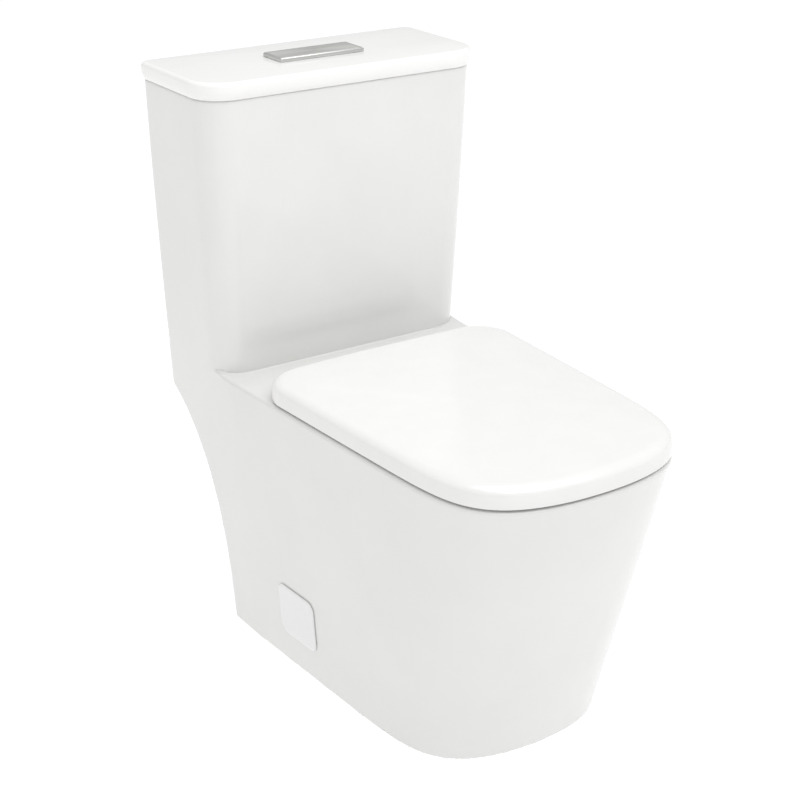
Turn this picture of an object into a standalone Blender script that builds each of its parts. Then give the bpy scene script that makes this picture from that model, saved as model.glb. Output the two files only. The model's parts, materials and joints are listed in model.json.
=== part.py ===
"""One-piece skirted toilet, as an assembly of its separate pieces.

Units are metres and +Z is up. The toilet faces -Y, its tank is at +Y, and the origin is on the floor
under the middle of the object. Run it with Blender 4.5, or paste it into the text editor.
"""

import math

import bmesh
import bpy
from mathutils import Matrix, Vector

# ---------------------------------------------------------------------------------------------
# Driving dimensions
# ---------------------------------------------------------------------------------------------

GAP = 0.0003  # air between two pieces that touch

# overall
OVERALL_LENGTH = 0.686  # front of the bowl to the back of the tank lid
RIM_HEIGHT = 0.375  # floor to the ceramic rim and deck
SEAM_HEIGHT = 0.7275  # floor to the top edge of the tank
LID_THICKNESS = 0.0225

# plan outline of the ceramic side, which runs in one sweep from the bowl to the tank
BASE_HALF_WIDTH = 0.1595
FOOT_HALF_WIDTH = 0.1845  # at the tank's foot
TOP_HALF_WIDTH = 0.1985  # at the tank's top edge
BASE_SIDE_TAPER = 0.0465  # how much the side closes per metre towards the front, on the floor
RIM_SIDE_TAPER = 0.0515  # the same, at the rim
TAPER_START_Y = 0.170  # the side is parallel behind this
BASE_SETBACK = 0.098  # the foot of the bowl stands this far behind the rim's front
BASE_CORNER_START_Y = 0.250
RIM_CORNER_START_Y = 0.148
FRONT_SIDE_END_Y = -0.100  # the side is drawn by even steps as far as this
FRONT_POWER = 13.5  # how late the side turns into the front
CORNER_POWER = 2.15  # how round the front is

# tank
TANK_BACK_GAP = 0.002  # the lid's back edge stands out this far
TANK_FRONT_TOP_Y = 0.1716
TANK_FRONT_FOOT_Y = 0.181
TANK_FRONT_RADIUS = 0.040
TANK_BACK_RADIUS = 0.009
TANK_WALL = 0.011

# underside of the tank and back of the base: one curve from the tank's back to the floor
BACK_CURVE_TOP = 0.315
BACK_CURVE_KNEE_Y = 0.225
BACK_CURVE_KNEE_Z = 0.245
BASE_BACK_Y = 0.224
BACK_CURVE_FOOT = 0.040

# hollow base and bowl
SKIRT_WALL = 0.011
DECK_THICKNESS = 0.014
BACK_FLANGE = 0.012
BACK_OPENING_HALF_WIDTH = 0.122
BACK_OPENING_HEIGHT = 0.285
BOWL_WALL = 0.010
RIM_WIDTH_FRONT = 0.043
RIM_WIDTH_SIDE = 0.044
BOWL_BACK_Y = 0.035
SUMP_FLOOR = 0.088
TRAP_RADIUS = 0.026
TRAP_WALL = 0.009
TRAP_CROWN = 0.232  # height of the weir's centre line
OUTLET_Y = 0.052  # 305 mm in front of the wall behind the tank
CHANNEL_HALF_WIDTH = 0.033
CHANNEL_HEIGHT = 0.026
CHANNEL_WALL = 0.010

# floor fixing
WEB_THICKNESS = 0.020
WEB_HALF_LENGTH = 0.062
CLOSET_BOLT_SPACING = 0.152
CLOSET_BOLT_RADIUS = 0.004
CLOSET_BOLT_TOP = 0.048
CLOSET_HOLE_RADIUS = 0.0055
CLOSET_WASHER_RADIUS = 0.013
CLOSET_WASHER_THICKNESS = 0.002
CLOSET_NUT_RADIUS = 0.008
CLOSET_NUT_HEIGHT = 0.008
SEAL_OUTER_RADIUS = 0.0555
SEAL_DEPTH = 0.010

# side access covers
CAP_LENGTH = 0.080
CAP_HEIGHT = 0.073
CAP_CENTRE_Z = 0.082
CAP_CORNER_RADIUS = 0.013
CAP_LEDGE = 0.0085  # the cover overlaps its hole by this
CAP_THICKNESS = 0.0025

# tank lid
LID_HALF_WIDTH = 0.203
LID_FRONT_OVERHANG = 0.005
LID_WEB = 0.013
LID_RIB_DEPTH = 0.007
LID_RIB_WIDTH = 0.005
LID_RIB_CLEARANCE = 0.002
LID_BACK_RADIUS_GROWTH = 0.003  # the lid's back corners are this much rounder than the tank's

# flush button in its frame
BUTTON_LENGTH = 0.1156
BUTTON_WIDTH = 0.0386
BUTTON_PLATE = 0.003
BUTTON_CLEARANCE = 0.0004
BEZEL_BORDER = 0.0029
BEZEL_HEIGHT = 0.0052
BEZEL_WALL = 0.0010
BEZEL_CHAMFER = 0.0012
BEZEL_POCKET_DEPTH = 0.025
BEZEL_FLOOR = 0.002
BEZEL_STEM_BORE = 0.0055
BUTTON_EDGE = 0.0004  # small chamfer round the button
GUIDE_RADIUS = 0.0045
PUSH_BOSS_RADIUS = 0.005
PUSH_BOSS_BORE = 0.0028
PUSH_HOLE_CLEARANCE = 0.002
PUSH_ROD_RADIUS = 0.0025
STEM_THREAD_RADIUS = 0.012
STEM_THREAD_LENGTH = 0.022
BRIDGE_PLATE = 0.003
BRIDGE_HALF_WIDTH = 0.0195
BRIDGE_OVERLAP = 0.014  # the bridge reaches this far past the button on both sides
BRIDGE_CLEARANCE = 0.004
CLAMP_NUT_RADIUS = 0.019
CLAMP_NUT_HEIGHT = 0.008
SPRING_RADIUS = 0.0075
SPRING_WIRE = 0.0007
SPRING_TURNS = 5

# flush valve
VALVE_BORE_RADIUS = 0.0255
VALVE_NECK_WALL = 0.004
VALVE_NECK_CLEARANCE = 0.0015
VALVE_LIP_WIDTH = 0.0045  # flat top of the raised lip
VALVE_LIP_SLOPE = 0.0035
VALVE_LIP_HEIGHT = 0.0114  # above the flange's underside
VALVE_FLANGE_THICKNESS = 0.005
VALVE_FLANGE_BORDER = 0.009  # outside the two bolts
VALVE_FLANGE_CLEARANCE = 0.001  # in front of the flange, where the tank is narrow
VALVE_GASKET_WIDTH = 0.014
VALVE_BOLT_RADIUS = 0.003
VALVE_BOLT_HEAD_RADIUS = 0.0062
VALVE_BOLT_CLEARANCE = 0.0013
TANK_GASKET_THICKNESS = 0.003
SEAL_OVERLAP = 0.0007  # the seal's inner edge lies this far outside the bore
SEAL_WIDTH = 0.0078
SEAL_THICKNESS = 0.003
CANISTER_OVERLAP = 0.0025  # the canister is this much wider than the bore
CANISTER_WALL = 0.002
CANISTER_FOOT_WIDTH = 0.0065
CANISTER_FOOT_THICKNESS = 0.003
CANISTER_DROP = 0.1075  # its top edge, below the tank's top edge
TOWER_CLEARANCE = 0.0095  # round the canister
TOWER_WALL = 0.0070
TOWER_BOLT_CLEARANCE = 0.0013
HOOP_CLEARANCE = 0.002
ROCKER_DROP = 0.0675
ROCKER_PUSH_ARM = 0.016
ROCKER_LIFT_ARM = 0.030
ROCKER_THICKNESS = 0.003
ROCKER_HALF_WIDTH = 0.004
ROCKER_HUB_RADIUS = 0.0042
ROCKER_PIN_RADIUS = 0.0019
LUG_CLEARANCE = 0.0005
LUG_OUTSIDE = 0.0075  # outer face of a lug, from its lever's middle
BAIL_RADIUS = 0.0020

# fill valve
FILL_X = -0.125
FILL_SHANK_RADIUS = 0.011
FILL_HOLE_RADIUS = 0.0125
FILL_RISER_RADIUS = 0.0125
FILL_RISER_DROP = 0.1275  # the riser's top, below the tank's top edge
FILL_FLANGE_RADIUS = 0.0225
FILL_GASKET_RADIUS = 0.0210
FILL_SHANK_DEPTH = 0.036
FILL_INLET_BORE = 0.005
LOCKNUT_RADIUS = 0.0165
LOCKNUT_FLANGE_RADIUS = 0.0200
LOCKNUT_HEIGHT = 0.012
FILL_HEAD_RADIUS = 0.0215
FILL_HEAD_HEIGHT = 0.050
FLOAT_RADIUS = 0.030
FLOAT_HEIGHT = 0.060
FLOAT_DROP = 0.040  # the float's top, below the riser's
FLOAT_CLEARANCE = 0.0006
FLOAT_LINK_RADIUS = 0.0014
FLOAT_COLLAR_RADIUS = 0.0036
FLOAT_COLLAR_REACH = 0.0045  # from the arm's middle to the collars above and below it
FLOAT_ARM_LENGTH = 0.0375
FLOAT_ARM_RISE_DEG = 18.6
FLOAT_ARM_HUB_RADIUS = 0.0036
FLOAT_ARM_PIN_RADIUS = 0.0015
REFILL_TUBE_RADIUS = 0.0030
NIPPLE_RADIUS = 0.0028
NIPPLE_HEIGHT = 0.022  # above the head's underside

# seat
COVER_BACK_Y = 0.1145
COVER_BACK_BOW = 0.006  # the back edge is this much further forward at its ends
COVER_CORNER_RADIUS = 0.050
COVER_INSET = 0.001  # the cover's edge lies this far inside the ceramic rim
COVER_GAP = 0.003  # shadow gap between the rim and the cover's lower edge
COVER_SKIRT = 0.0055
COVER_EDGE_HEIGHT = 0.0265
COVER_CROWN = 0.0035
COVER_SHELL = 0.0075
RING_INSET = 0.0085
RING_CORNER_RADIUS = 0.045
RING_THICKNESS = 0.012
RING_BUMPER_HEIGHT = 0.0032
HOLE_FRONT_BORDER = 0.071  # bowl's front to the ring's hole
HOLE_BACK_Y = 0.020
HOLE_HALF_WIDTH = 0.108
BUMPER_RADIUS = 0.0058
RING_BUMPER_BORDER = 0.024  # side of the rim to the middle of a bumper
RING_BUMPER_FRONT = 0.052  # front of the rim to the middle of a front bumper
COVER_BUMPER_BORDER = 0.030
COVER_BUMPER_FRONT = 0.045
BUMPER_BACK_OFFSET = 0.045  # behind them, the ring's back edge

# seat hinge
HINGE_BACK_OFFSET = 0.0105  # axis to the cover's back edge
HINGE_HEIGHT = 0.012  # axis above the deck
HINGE_SPACING = 0.145
HINGE_RADIUS = 0.007
HINGE_SHAFT_RADIUS = 0.003
HINGE_POST_WIDTH = 0.016
HINGE_FOOT_WIDTH = 0.024
HINGE_FOOT_FRONT = 0.028
HINGE_FOOT_THICKNESS = 0.003
HINGE_KNUCKLE = 0.015
KNUCKLE_GAP = 0.001  # between hinge pieces side by side
RING_BACK_CLEARANCE = 0.003
DAMPER_LENGTH = 0.036
DAMPER_RADIUS = 0.0045
SEAT_BOLT_OFFSET = 0.019
SEAT_BOLT_RADIUS = 0.003
SEAT_BOLT_HEAD_RADIUS = 0.0058
SEAT_ANCHOR_RADIUS = 0.0068
SEAT_ANCHOR_BULGE = 0.0085

# mesh fineness
MERGE_DISTANCE = 0.000002  # points closer than this are one point
ROUND = 20  # sides of a small round piece
FINE_ROUND = 28  # sides of a larger one
SEAT_POINTS = 56

# ---------------------------------------------------------------------------------------------
# Places that follow from the driving dimensions
# ---------------------------------------------------------------------------------------------

FRONT_Y = -OVERALL_LENGTH / 2
BACK_Y = OVERALL_LENGTH / 2
LID_TOP_HEIGHT = SEAM_HEIGHT + LID_THICKNESS
TANK_BACK_Y = BACK_Y - TANK_BACK_GAP
DECK_UNDERSIDE = RIM_HEIGHT - DECK_THICKNESS
LID_FRONT_Y = TANK_FRONT_TOP_Y - LID_FRONT_OVERHANG
LID_CENTRE_Y = (LID_FRONT_Y + BACK_Y) / 2
LID_WEB_UNDERSIDE = LID_TOP_HEIGHT - LID_WEB
VALVE_Y = LID_CENTRE_Y
BEZEL_TOP = LID_TOP_HEIGHT + BEZEL_HEIGHT
POCKET_FLOOR = BEZEL_TOP - BEZEL_POCKET_DEPTH
BRIDGE_LOW = POCKET_FLOOR - BEZEL_FLOOR - GAP - BRIDGE_PLATE
STEM_THREAD_BOTTOM = POCKET_FLOOR - BEZEL_FLOOR - STEM_THREAD_LENGTH
PLATE_UNDERSIDE = BEZEL_TOP - BUTTON_PLATE
VALVE_NECK_RADIUS = VALVE_BORE_RADIUS + VALVE_NECK_WALL
VALVE_HOLE_RADIUS = VALVE_NECK_RADIUS + VALVE_NECK_CLEARANCE
CANISTER_RADIUS = VALVE_BORE_RADIUS + CANISTER_OVERLAP
CANISTER_FOOT_RADIUS = CANISTER_RADIUS + CANISTER_FOOT_WIDTH
CANISTER_TOP = SEAM_HEIGHT - CANISTER_DROP
TOWER_INNER_RADIUS = CANISTER_RADIUS + TOWER_CLEARANCE
TOWER_OUTER_RADIUS = TOWER_INNER_RADIUS + TOWER_WALL
VALVE_BOLT_X = TOWER_OUTER_RADIUS + TOWER_BOLT_CLEARANCE + VALVE_BOLT_HEAD_RADIUS
VALVE_FLANGE_RADIUS = VALVE_BOLT_X + VALVE_FLANGE_BORDER
ROCKER_X = -ROCKER_LIFT_ARM
ROCKER_Z = SEAM_HEIGHT - ROCKER_DROP
PUSH_X = ROCKER_X - ROCKER_PUSH_ARM
ROCKER_TOP = ROCKER_Z + ROCKER_THICKNESS / 2
VALVE_FLANGE_Z = RIM_HEIGHT + GAP + TANK_GASKET_THICKNESS + GAP
VALVE_FLANGE_TOP = VALVE_FLANGE_Z + VALVE_FLANGE_THICKNESS
SEAL_Z = VALVE_FLANGE_Z + VALVE_LIP_HEIGHT + GAP
PUSH_ROD_TOP = POCKET_FLOOR + 0.0095
FILL_RISER_TOP = SEAM_HEIGHT - FILL_RISER_DROP
FLOAT_TOP = FILL_RISER_TOP - FLOAT_DROP
FLOAT_LINK_Y = VALVE_Y - 0.0255
ARM_PIVOT_Y = FLOAT_LINK_Y + FLOAT_ARM_LENGTH * math.cos(math.radians(FLOAT_ARM_RISE_DEG))
ARM_PIVOT_Z = FILL_RISER_TOP + FILL_HEAD_HEIGHT + 0.010
ARM_END_Z = ARM_PIVOT_Z + FLOAT_ARM_LENGTH * math.sin(math.radians(FLOAT_ARM_RISE_DEG))
HINGE_Y = COVER_BACK_Y - HINGE_BACK_OFFSET
HINGE_Z = RIM_HEIGHT + HINGE_HEIGHT
HINGE_X = HINGE_SPACING / 2
SEAT_BOLT_Y = HINGE_Y - SEAT_BOLT_OFFSET
COVER_EDGE_Z = RIM_HEIGHT + COVER_GAP
COVER_TOP_Z = COVER_EDGE_Z + COVER_EDGE_HEIGHT
COVER_CEILING_Z = COVER_TOP_Z - COVER_SHELL
RING_UNDERSIDE = RIM_HEIGHT + RING_BUMPER_HEIGHT + 2 * GAP
RING_TOP = RING_UNDERSIDE + RING_THICKNESS
COVER_BUMPER_HEIGHT = COVER_CEILING_Z - RING_TOP - 2 * GAP
RING_BACK_Y = HINGE_Y - HINGE_FOOT_FRONT - RING_BACK_CLEARANCE
HOLE_FRONT_Y = FRONT_Y + HOLE_FRONT_BORDER
HOLE_HALF_LENGTH = (HOLE_BACK_Y - HOLE_FRONT_Y) / 2
SEAT_CENTRE_Y = (HOLE_BACK_Y + HOLE_FRONT_Y) / 2
BOWL_FRONT_Y = FRONT_Y + RIM_WIDTH_FRONT


# ---------------------------------------------------------------------------------------------
# Small helpers
# ---------------------------------------------------------------------------------------------


def clear_scene():
    for item in list(bpy.data.objects):
        bpy.data.objects.remove(item, do_unlink=True)


def make_material(name, colour, roughness, metallic=0.0):
    """A Principled BSDF with one colour."""
    material = bpy.data.materials.new(name)
    material.use_nodes = True
    shader = material.node_tree.nodes["Principled BSDF"]
    shader.inputs["Base Color"].default_value = (*colour, 1.0)
    shader.inputs["Roughness"].default_value = roughness
    shader.inputs["Metallic"].default_value = metallic
    material.diffuse_color = (*colour, 1.0)
    return material


def object_from(name, points, faces, material=None):
    """An object from points and faces, with the faces turned outwards."""
    shape = bmesh.new()
    vertices = [shape.verts.new(point) for point in points]
    for face in faces:
        shape.faces.new([vertices[index] for index in face])
    bmesh.ops.recalc_face_normals(shape, faces=shape.faces)
    mesh = bpy.data.meshes.new(name)
    shape.to_mesh(mesh)
    shape.free()
    if material:
        mesh.materials.append(material)
    mesh.shade_smooth()
    mesh.set_sharp_from_angle(angle=math.radians(35))
    made = bpy.data.objects.new(name, mesh)
    bpy.context.scene.collection.objects.link(made)
    return made


def loft(name, rings, material=None, closed=False):
    """A solid through rings of equal count: capped at both ends, or closed back to the first ring."""
    count = len(rings[0])
    points = [point for ring in rings for point in ring]
    faces = []
    last = len(rings) if closed else len(rings) - 1
    for level in range(last):
        low = level * count
        high = (level + 1) % len(rings) * count
        for k in range(count):
            following = (k + 1) % count
            faces.append((low + k, low + following, high + following, high + k))
    if not closed:
        faces.append(tuple(reversed(range(count))))
        faces.append(tuple((len(rings) - 1) * count + k for k in range(count)))
    return object_from(name, points, faces, material)


def turned(name, profile, centre, material=None, direction=(0, 0, 1), sides=ROUND):
    """A profile of (radius, height) turned about an axis: from pole to pole, or a closed ring."""
    turn = Vector((0, 0, 1)).rotation_difference(Vector(direction)).to_matrix().to_4x4()
    place = Matrix.Translation(centre) @ turn
    points = []
    starts = []
    for radius, height in profile:
        starts.append(len(points))
        steps = sides if radius > 0 else 1
        for k in range(steps):
            angle = math.tau * k / sides
            spot = Vector((radius * math.cos(angle), radius * math.sin(angle), height))
            points.append(place @ spot)
    faces = []
    is_ring = all(radius > 0 for radius, _ in profile)
    pairs = len(profile) if is_ring else len(profile) - 1
    for j in range(pairs):
        following = (j + 1) % len(profile)
        for k in range(sides):
            low = [starts[j] + (k + step) % sides for step in (0, 1)]
            high = [starts[following] + (k + step) % sides for step in (1, 0)]
            if profile[j][0] == 0:
                low = [starts[j]]
            if profile[following][0] == 0:
                high = [starts[following]]
            faces.append(tuple(low + high))
    return object_from(name, points, faces, material)


def rod(name, radius, start, end, material=None, sides=ROUND):
    """A plain round bar between two points."""
    axis = Vector(end) - Vector(start)
    profile = [(0, 0), (radius, 0), (radius, axis.length), (0, axis.length)]
    return turned(name, profile, start, material, axis.normalized(), sides)


def washer(name, inner, outer, low, high, x, y, material=None, sides=ROUND):
    """An upright ring with a square section."""
    profile = [(inner, low), (outer, low), (outer, high), (inner, high)]
    return turned(name, profile, (x, y, 0), material, sides=sides)


def nut(name, bolt_radius, outer, low, high, x, y, material=None):
    """A hexagon nut, whose flats clear its bolt."""
    inner = (bolt_radius + GAP) / math.cos(math.pi / 6)
    return washer(name, inner, outer, low, high, x, y, material, 6)


def box(name, low, high, material=None):
    """A block between two corners."""
    ring = [(low[0], low[1]), (high[0], low[1]), (high[0], high[1]), (low[0], high[1])]
    rings = [[(x, y, z) for x, y in ring] for z in (low[2], high[2])]
    return loft(name, rings, material)


def rounded_rectangle(half_x, half_y, radius, centre=(0, 0), steps=4):
    """Points round a rectangle with round corners, anticlockwise."""
    points = []
    for quarter, (sx, sy) in enumerate(((1, 1), (-1, 1), (-1, -1), (1, -1))):
        for k in range(steps + 1):
            angle = math.pi / 2 * (quarter + k / steps)
            x = centre[0] + sx * (half_x - radius) + radius * math.cos(angle)
            y = centre[1] + sy * (half_y - radius) + radius * math.sin(angle)
            points.append((x, y))
    return points


def at_height(outline, z):
    return [(x, y, z) for x, y in outline]


def inset(outline, distance):
    """A closed outline, given anticlockwise, moved inwards by a distance."""
    moved = []
    count = len(outline)
    for k, (x, y) in enumerate(outline):
        before = Vector(outline[k - 1])
        after = Vector(outline[(k + 1) % count])
        along = (after - before).normalized()
        moved.append((x - along.y * distance, y + along.x * distance))
    return moved


def by_angle(outline, centre_y, count=SEAT_POINTS):
    """A closed outline sampled again at even angles about a point on the middle line."""
    centre = Vector((0, centre_y))
    spots = []
    for k in range(count):
        angle = math.tau * k / count
        ray = Vector((math.cos(angle), math.sin(angle)))
        for j, point in enumerate(outline):
            a = Vector(outline[j - 1]) - centre
            b = Vector(point) - centre
            side = b - a
            turn = ray.x * side.y - ray.y * side.x
            if abs(turn) < 1e-12:
                continue
            reach = (a.x * side.y - a.y * side.x) / turn
            share = (a.x * ray.y - a.y * ray.x) / turn
            if reach > 0 and -1e-9 <= share < 1 - 1e-9:
                spots.append(tuple(centre + ray * reach))
                break
    return spots


def superellipse(half_x, half_y, centre_y, power, count=SEAT_POINTS):
    """A rounded oval, anticlockwise from +X."""
    points = []
    for k in range(count):
        angle = math.tau * k / count
        c = math.cos(angle)
        s = math.sin(angle)
        x = half_x * math.copysign(abs(c) ** (2 / power), c)
        y = centre_y + half_y * math.copysign(abs(s) ** (2 / power), s)
        points.append((x, y))
    return points


def combine(target, tool, operation):
    """Apply a Boolean to target and delete the tool."""
    modifier = target.modifiers.new("cut", "BOOLEAN")
    modifier.operation = operation
    modifier.object = tool
    bpy.context.view_layer.update()
    graph = bpy.context.evaluated_depsgraph_get()
    mesh = bpy.data.meshes.new_from_object(target.evaluated_get(graph))
    shape = bmesh.new()
    shape.from_mesh(mesh)
    bmesh.ops.remove_doubles(shape, verts=shape.verts, dist=MERGE_DISTANCE)
    shape.to_mesh(mesh)
    shape.free()
    target.modifiers.clear()
    target.data = mesh
    bpy.data.objects.remove(tool, do_unlink=True)
    return target


def cut(target, *tools):
    for tool in tools:
        combine(target, tool, "DIFFERENCE")
    return target


def join(target, *tools):
    for tool in tools:
        combine(target, tool, "UNION")
    return target


def drill(target, radius, x, y, low, high, sides=ROUND):
    """Cut an upright round hole."""
    return cut(target, rod("drill", radius, (x, y, low), (x, y, high), sides=sides))


def drill_floor(body, radius, x, y, sides=ROUND):
    """Cut an upright hole through the tank's floor or the deck."""
    return drill(body, radius, x, y, DECK_UNDERSIDE - 0.01, RIM_HEIGHT + 0.01, sides)


def tube_rings(path, radius, sides):
    """Rings of a round tube along points, with no twist."""
    rings = []
    across = Vector((1, 0, 0))
    for k, point in enumerate(path):
        before = Vector(path[max(k - 1, 0)])
        after = Vector(path[min(k + 1, len(path) - 1)])
        along = (after - before).normalized()
        across = (across - along * across.dot(along)).normalized()
        up = along.cross(across)
        ring = []
        for j in range(sides):
            angle = math.tau * j / sides
            spot = Vector(point) + (across * math.cos(angle) + up * math.sin(angle)) * radius
            ring.append(tuple(spot))
        rings.append(ring)
    return rings


def smooth_path(stations, steps):
    """A Catmull-Rom curve through the stations."""
    padded = [stations[0], *stations, stations[-1]]
    path = []
    for k in range(1, len(padded) - 2):
        p0, p1, p2, p3 = (Vector(padded[k + j]) for j in (-1, 0, 1, 2))
        for step in range(steps):
            t = step / steps
            path.append(
                0.5
                * (
                    2 * p1
                    + (p2 - p0) * t
                    + (2 * p0 - 5 * p1 + 4 * p2 - p3) * t**2
                    + (3 * p1 - p0 - 3 * p2 + p3) * t**3
                )
            )
    path.append(Vector(stations[-1]))
    return path


def hang_on(empty_name, place, *pieces):
    """Give moving pieces their origin at a joint and parent them to an empty there."""
    holder = bpy.data.objects.new(empty_name, None)
    holder.location = place
    bpy.context.scene.collection.objects.link(holder)
    for piece in pieces:
        piece.data.transform(Matrix.Translation(-Vector(place)))
        piece.parent = holder


# ---------------------------------------------------------------------------------------------
# Shape of the ceramic body
# ---------------------------------------------------------------------------------------------


def side_half_width(z):
    """Half width of the parallel part behind the bowl: a parabola through floor, foot and top."""
    low_slope = (FOOT_HALF_WIDTH - BASE_HALF_WIDTH) / RIM_HEIGHT
    high_slope = (TOP_HALF_WIDTH - FOOT_HALF_WIDTH) / (SEAM_HEIGHT - RIM_HEIGHT)
    bend = (high_slope - low_slope) / SEAM_HEIGHT
    return BASE_HALF_WIDTH + low_slope * z + bend * z * (z - RIM_HEIGHT)


def blend(base_value, rim_value, z):
    return base_value + (rim_value - base_value) * z / RIM_HEIGHT


def bowl_front_y(z):
    return FRONT_Y + BASE_SETBACK * (1 - z / RIM_HEIGHT)


def half_width(y, z):
    """Half width of the skirt and bowl at a place on their side."""
    taper = blend(BASE_SIDE_TAPER, RIM_SIDE_TAPER, z)
    start = blend(BASE_CORNER_START_Y, RIM_CORNER_START_Y, z)
    width = side_half_width(z) - taper * max(0.0, TAPER_START_Y - y)
    share = min(1.0, max(0.0, (start - y) / (start - bowl_front_y(z))))
    return width * (1 - share**FRONT_POWER) ** (1 / CORNER_POWER)


def front_half(z):
    """Right half of the bowl's outline from the tank's foot round to the front, as (x, y)."""
    start = blend(BASE_CORNER_START_Y, RIM_CORNER_START_Y, z)
    side_step = (TAPER_START_Y - FRONT_SIDE_END_Y) / 4
    side_y = [TAPER_START_Y - step * side_step for step in range(5)]
    points = [(half_width(y, z), y) for y in side_y]
    corner_steps = 13
    first_angle = 0.19
    for k in range(corner_steps):
        angle = first_angle + (math.pi / 2 - first_angle) * k / (corner_steps - 1)
        share = math.sin(angle) ** (2 / FRONT_POWER)
        y = start - share * (start - bowl_front_y(z))
        points.append((half_width(y, z) if k < corner_steps - 1 else 0.0, y))
    return points


def back_corner(width, back_y, radius):
    """A right back corner, from the side round to the back."""
    points = []
    for k in range(4):
        angle = math.pi / 2 * k / 3
        x = width - radius * (1 - math.cos(angle))
        y = back_y - radius * (1 - math.sin(angle))
        points.append((x, y))
    return points


def tank_front_y(z):
    slope = (TANK_FRONT_TOP_Y - TANK_FRONT_FOOT_Y) / (SEAM_HEIGHT - RIM_HEIGHT)
    return TANK_FRONT_FOOT_Y + slope * (z - RIM_HEIGHT)


def tank_front_half(z, wall=0.0):
    """Right half of the tank's front, from the side's tangent point to the middle."""
    width = side_half_width(z) - wall
    front = tank_front_y(z) + wall
    radius = TANK_FRONT_RADIUS - wall
    points = []
    for k in range(7):
        angle = math.pi / 2 * k / 6
        x = width - radius * (1 - math.cos(angle))
        y = front + radius * (1 - math.sin(angle))
        points.append((x, y))
    points.append((0.0, front))
    return points


def mirrored(half):
    """A whole outline from its right half, which runs from the back to the middle of the front."""
    left = [(-x, y) for x, y in reversed(half) if x > 0]
    return half + left


def tank_cavity():
    """The inside of the tank, open above."""
    back = TANK_BACK_Y - TANK_WALL
    rings = []
    for z in (RIM_HEIGHT, (RIM_HEIGHT + SEAM_HEIGHT) / 2, SEAM_HEIGHT + 0.01):
        width = side_half_width(z) - TANK_WALL
        half = back_corner(width, back, TANK_BACK_RADIUS)[::-1] + tank_front_half(z, TANK_WALL)
        rings.append(at_height(mirrored(half), z))
    return loft("tank_cavity", rings)


def ceramic_blank():
    """The outside of the ceramic as one solid: skirt and bowl below, tank above, deck between."""
    corner_low = TANK_FRONT_FOOT_Y + TANK_FRONT_RADIUS
    below = [0.0, RIM_HEIGHT / 3, RIM_HEIGHT * 2 / 3, RIM_HEIGHT]
    above = [RIM_HEIGHT + (SEAM_HEIGHT - RIM_HEIGHT) * k / 3 for k in range(4)]

    def back_half(z):
        corner = back_corner(side_half_width(z), TANK_BACK_Y, TANK_BACK_RADIUS)[::-1]
        return corner + [(side_half_width(z), corner_low)]

    lower = [at_height(mirrored(back_half(z) + front_half(z)), z) for z in below]
    upper = [at_height(mirrored(back_half(z) + tank_front_half(z)), z) for z in above]
    shared = len(back_half(0))
    points = []
    faces = []
    count = len(lower[0])
    for ring in lower:
        points.extend(ring)
    for level in range(len(below) - 1):
        low = level * count
        for k in range(count):
            following = (k + 1) % count
            faces.append((low + k, low + following, low + count + following, low + count + k))
    faces.append(tuple(reversed(range(count))))
    rim = (len(below) - 1) * count
    # the tank's first ring shares the rim's points behind the tank's front corners
    size = len(upper[0])
    first = []
    for k, point in enumerate(upper[0]):
        if k < shared:
            first.append(rim + k)
        elif k >= size - shared:
            first.append(rim + count - (size - k))
        else:
            first.append(len(points))
            points.append(point)
    rows = [first]
    for ring in upper[1:]:
        rows.append(list(range(len(points), len(points) + size)))
        points.extend(ring)
    for low, high in zip(rows, rows[1:]):
        for k in range(size):
            following = (k + 1) % size
            faces.append((low[k], low[following], high[following], high[k]))
    faces.append(tuple(rows[-1]))
    # the deck lies between the rim's front and the tank's foot
    rim_front = list(range(rim + shared - 1, rim + count - shared + 1))
    tank_front = first[shared : size - shared]
    faces.append(tuple(rim_front + tank_front[::-1]))
    return object_from("ceramic_body", points, faces)


def back_curve(setback, drop):
    """Side view of the back: points from under the tank down to the floor, as (y, z)."""
    start = Vector((TANK_BACK_Y - setback, BACK_CURVE_TOP + drop))
    knee = Vector((BACK_CURVE_KNEE_Y - setback, BACK_CURVE_KNEE_Z + drop))
    end = Vector((BASE_BACK_Y - setback, BACK_CURVE_FOOT))
    steps = 8
    curve = []
    for k in range(steps + 1):
        t = k / steps
        curve.append(start * (1 - t) ** 2 + knee * (2 * t * (1 - t)) + end * t**2)
    return [tuple(point) for point in curve]


def back_cutter(name, setback=0.0, drop=0.0):
    """Everything behind the back curve."""
    far = BACK_Y + 0.10
    below = -0.03
    curve = back_curve(setback, drop)
    profile = [(far, curve[0][1]), *curve, (curve[-1][0], below), (far, below)]
    rings = [[(x, y, z) for y, z in profile] for x in (-0.30, 0.30)]
    return loft(name, rings)


def bowl_sections(wall=0.0):
    """The bowl's inside as (z, half width, front, back) from the top down; wall makes its outside."""
    rim_half = half_width(SEAT_CENTRE_Y, RIM_HEIGHT) - RIM_WIDTH_SIDE + 0.008
    top = RIM_HEIGHT + 0.01 if wall == 0 else DECK_UNDERSIDE + 0.004
    front = BOWL_FRONT_Y
    back = BOWL_BACK_Y
    drop = RIM_HEIGHT - SUMP_FLOOR
    shares = [
        (0.00, 1.00, 0.000, 0.000),
        (0.20, 0.97, 0.008, 0.004),
        (0.40, 0.86, 0.030, 0.016),
        (0.60, 0.66, 0.070, 0.040),
        (0.76, 0.46, 0.118, 0.066),
        (0.90, 0.33, 0.168, 0.080),
        (1.00, 0.25, 0.200, 0.086),
    ]
    sections = []
    for k, (depth, width, from_front, from_back) in enumerate(shares):
        z = RIM_HEIGHT - drop * depth
        if k == 0:
            z = top
        if k == len(shares) - 1:
            z -= wall
        half = rim_half * width + wall
        sections.append((z, half, front + from_front - wall, back - from_back + wall))
    return sections


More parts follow.
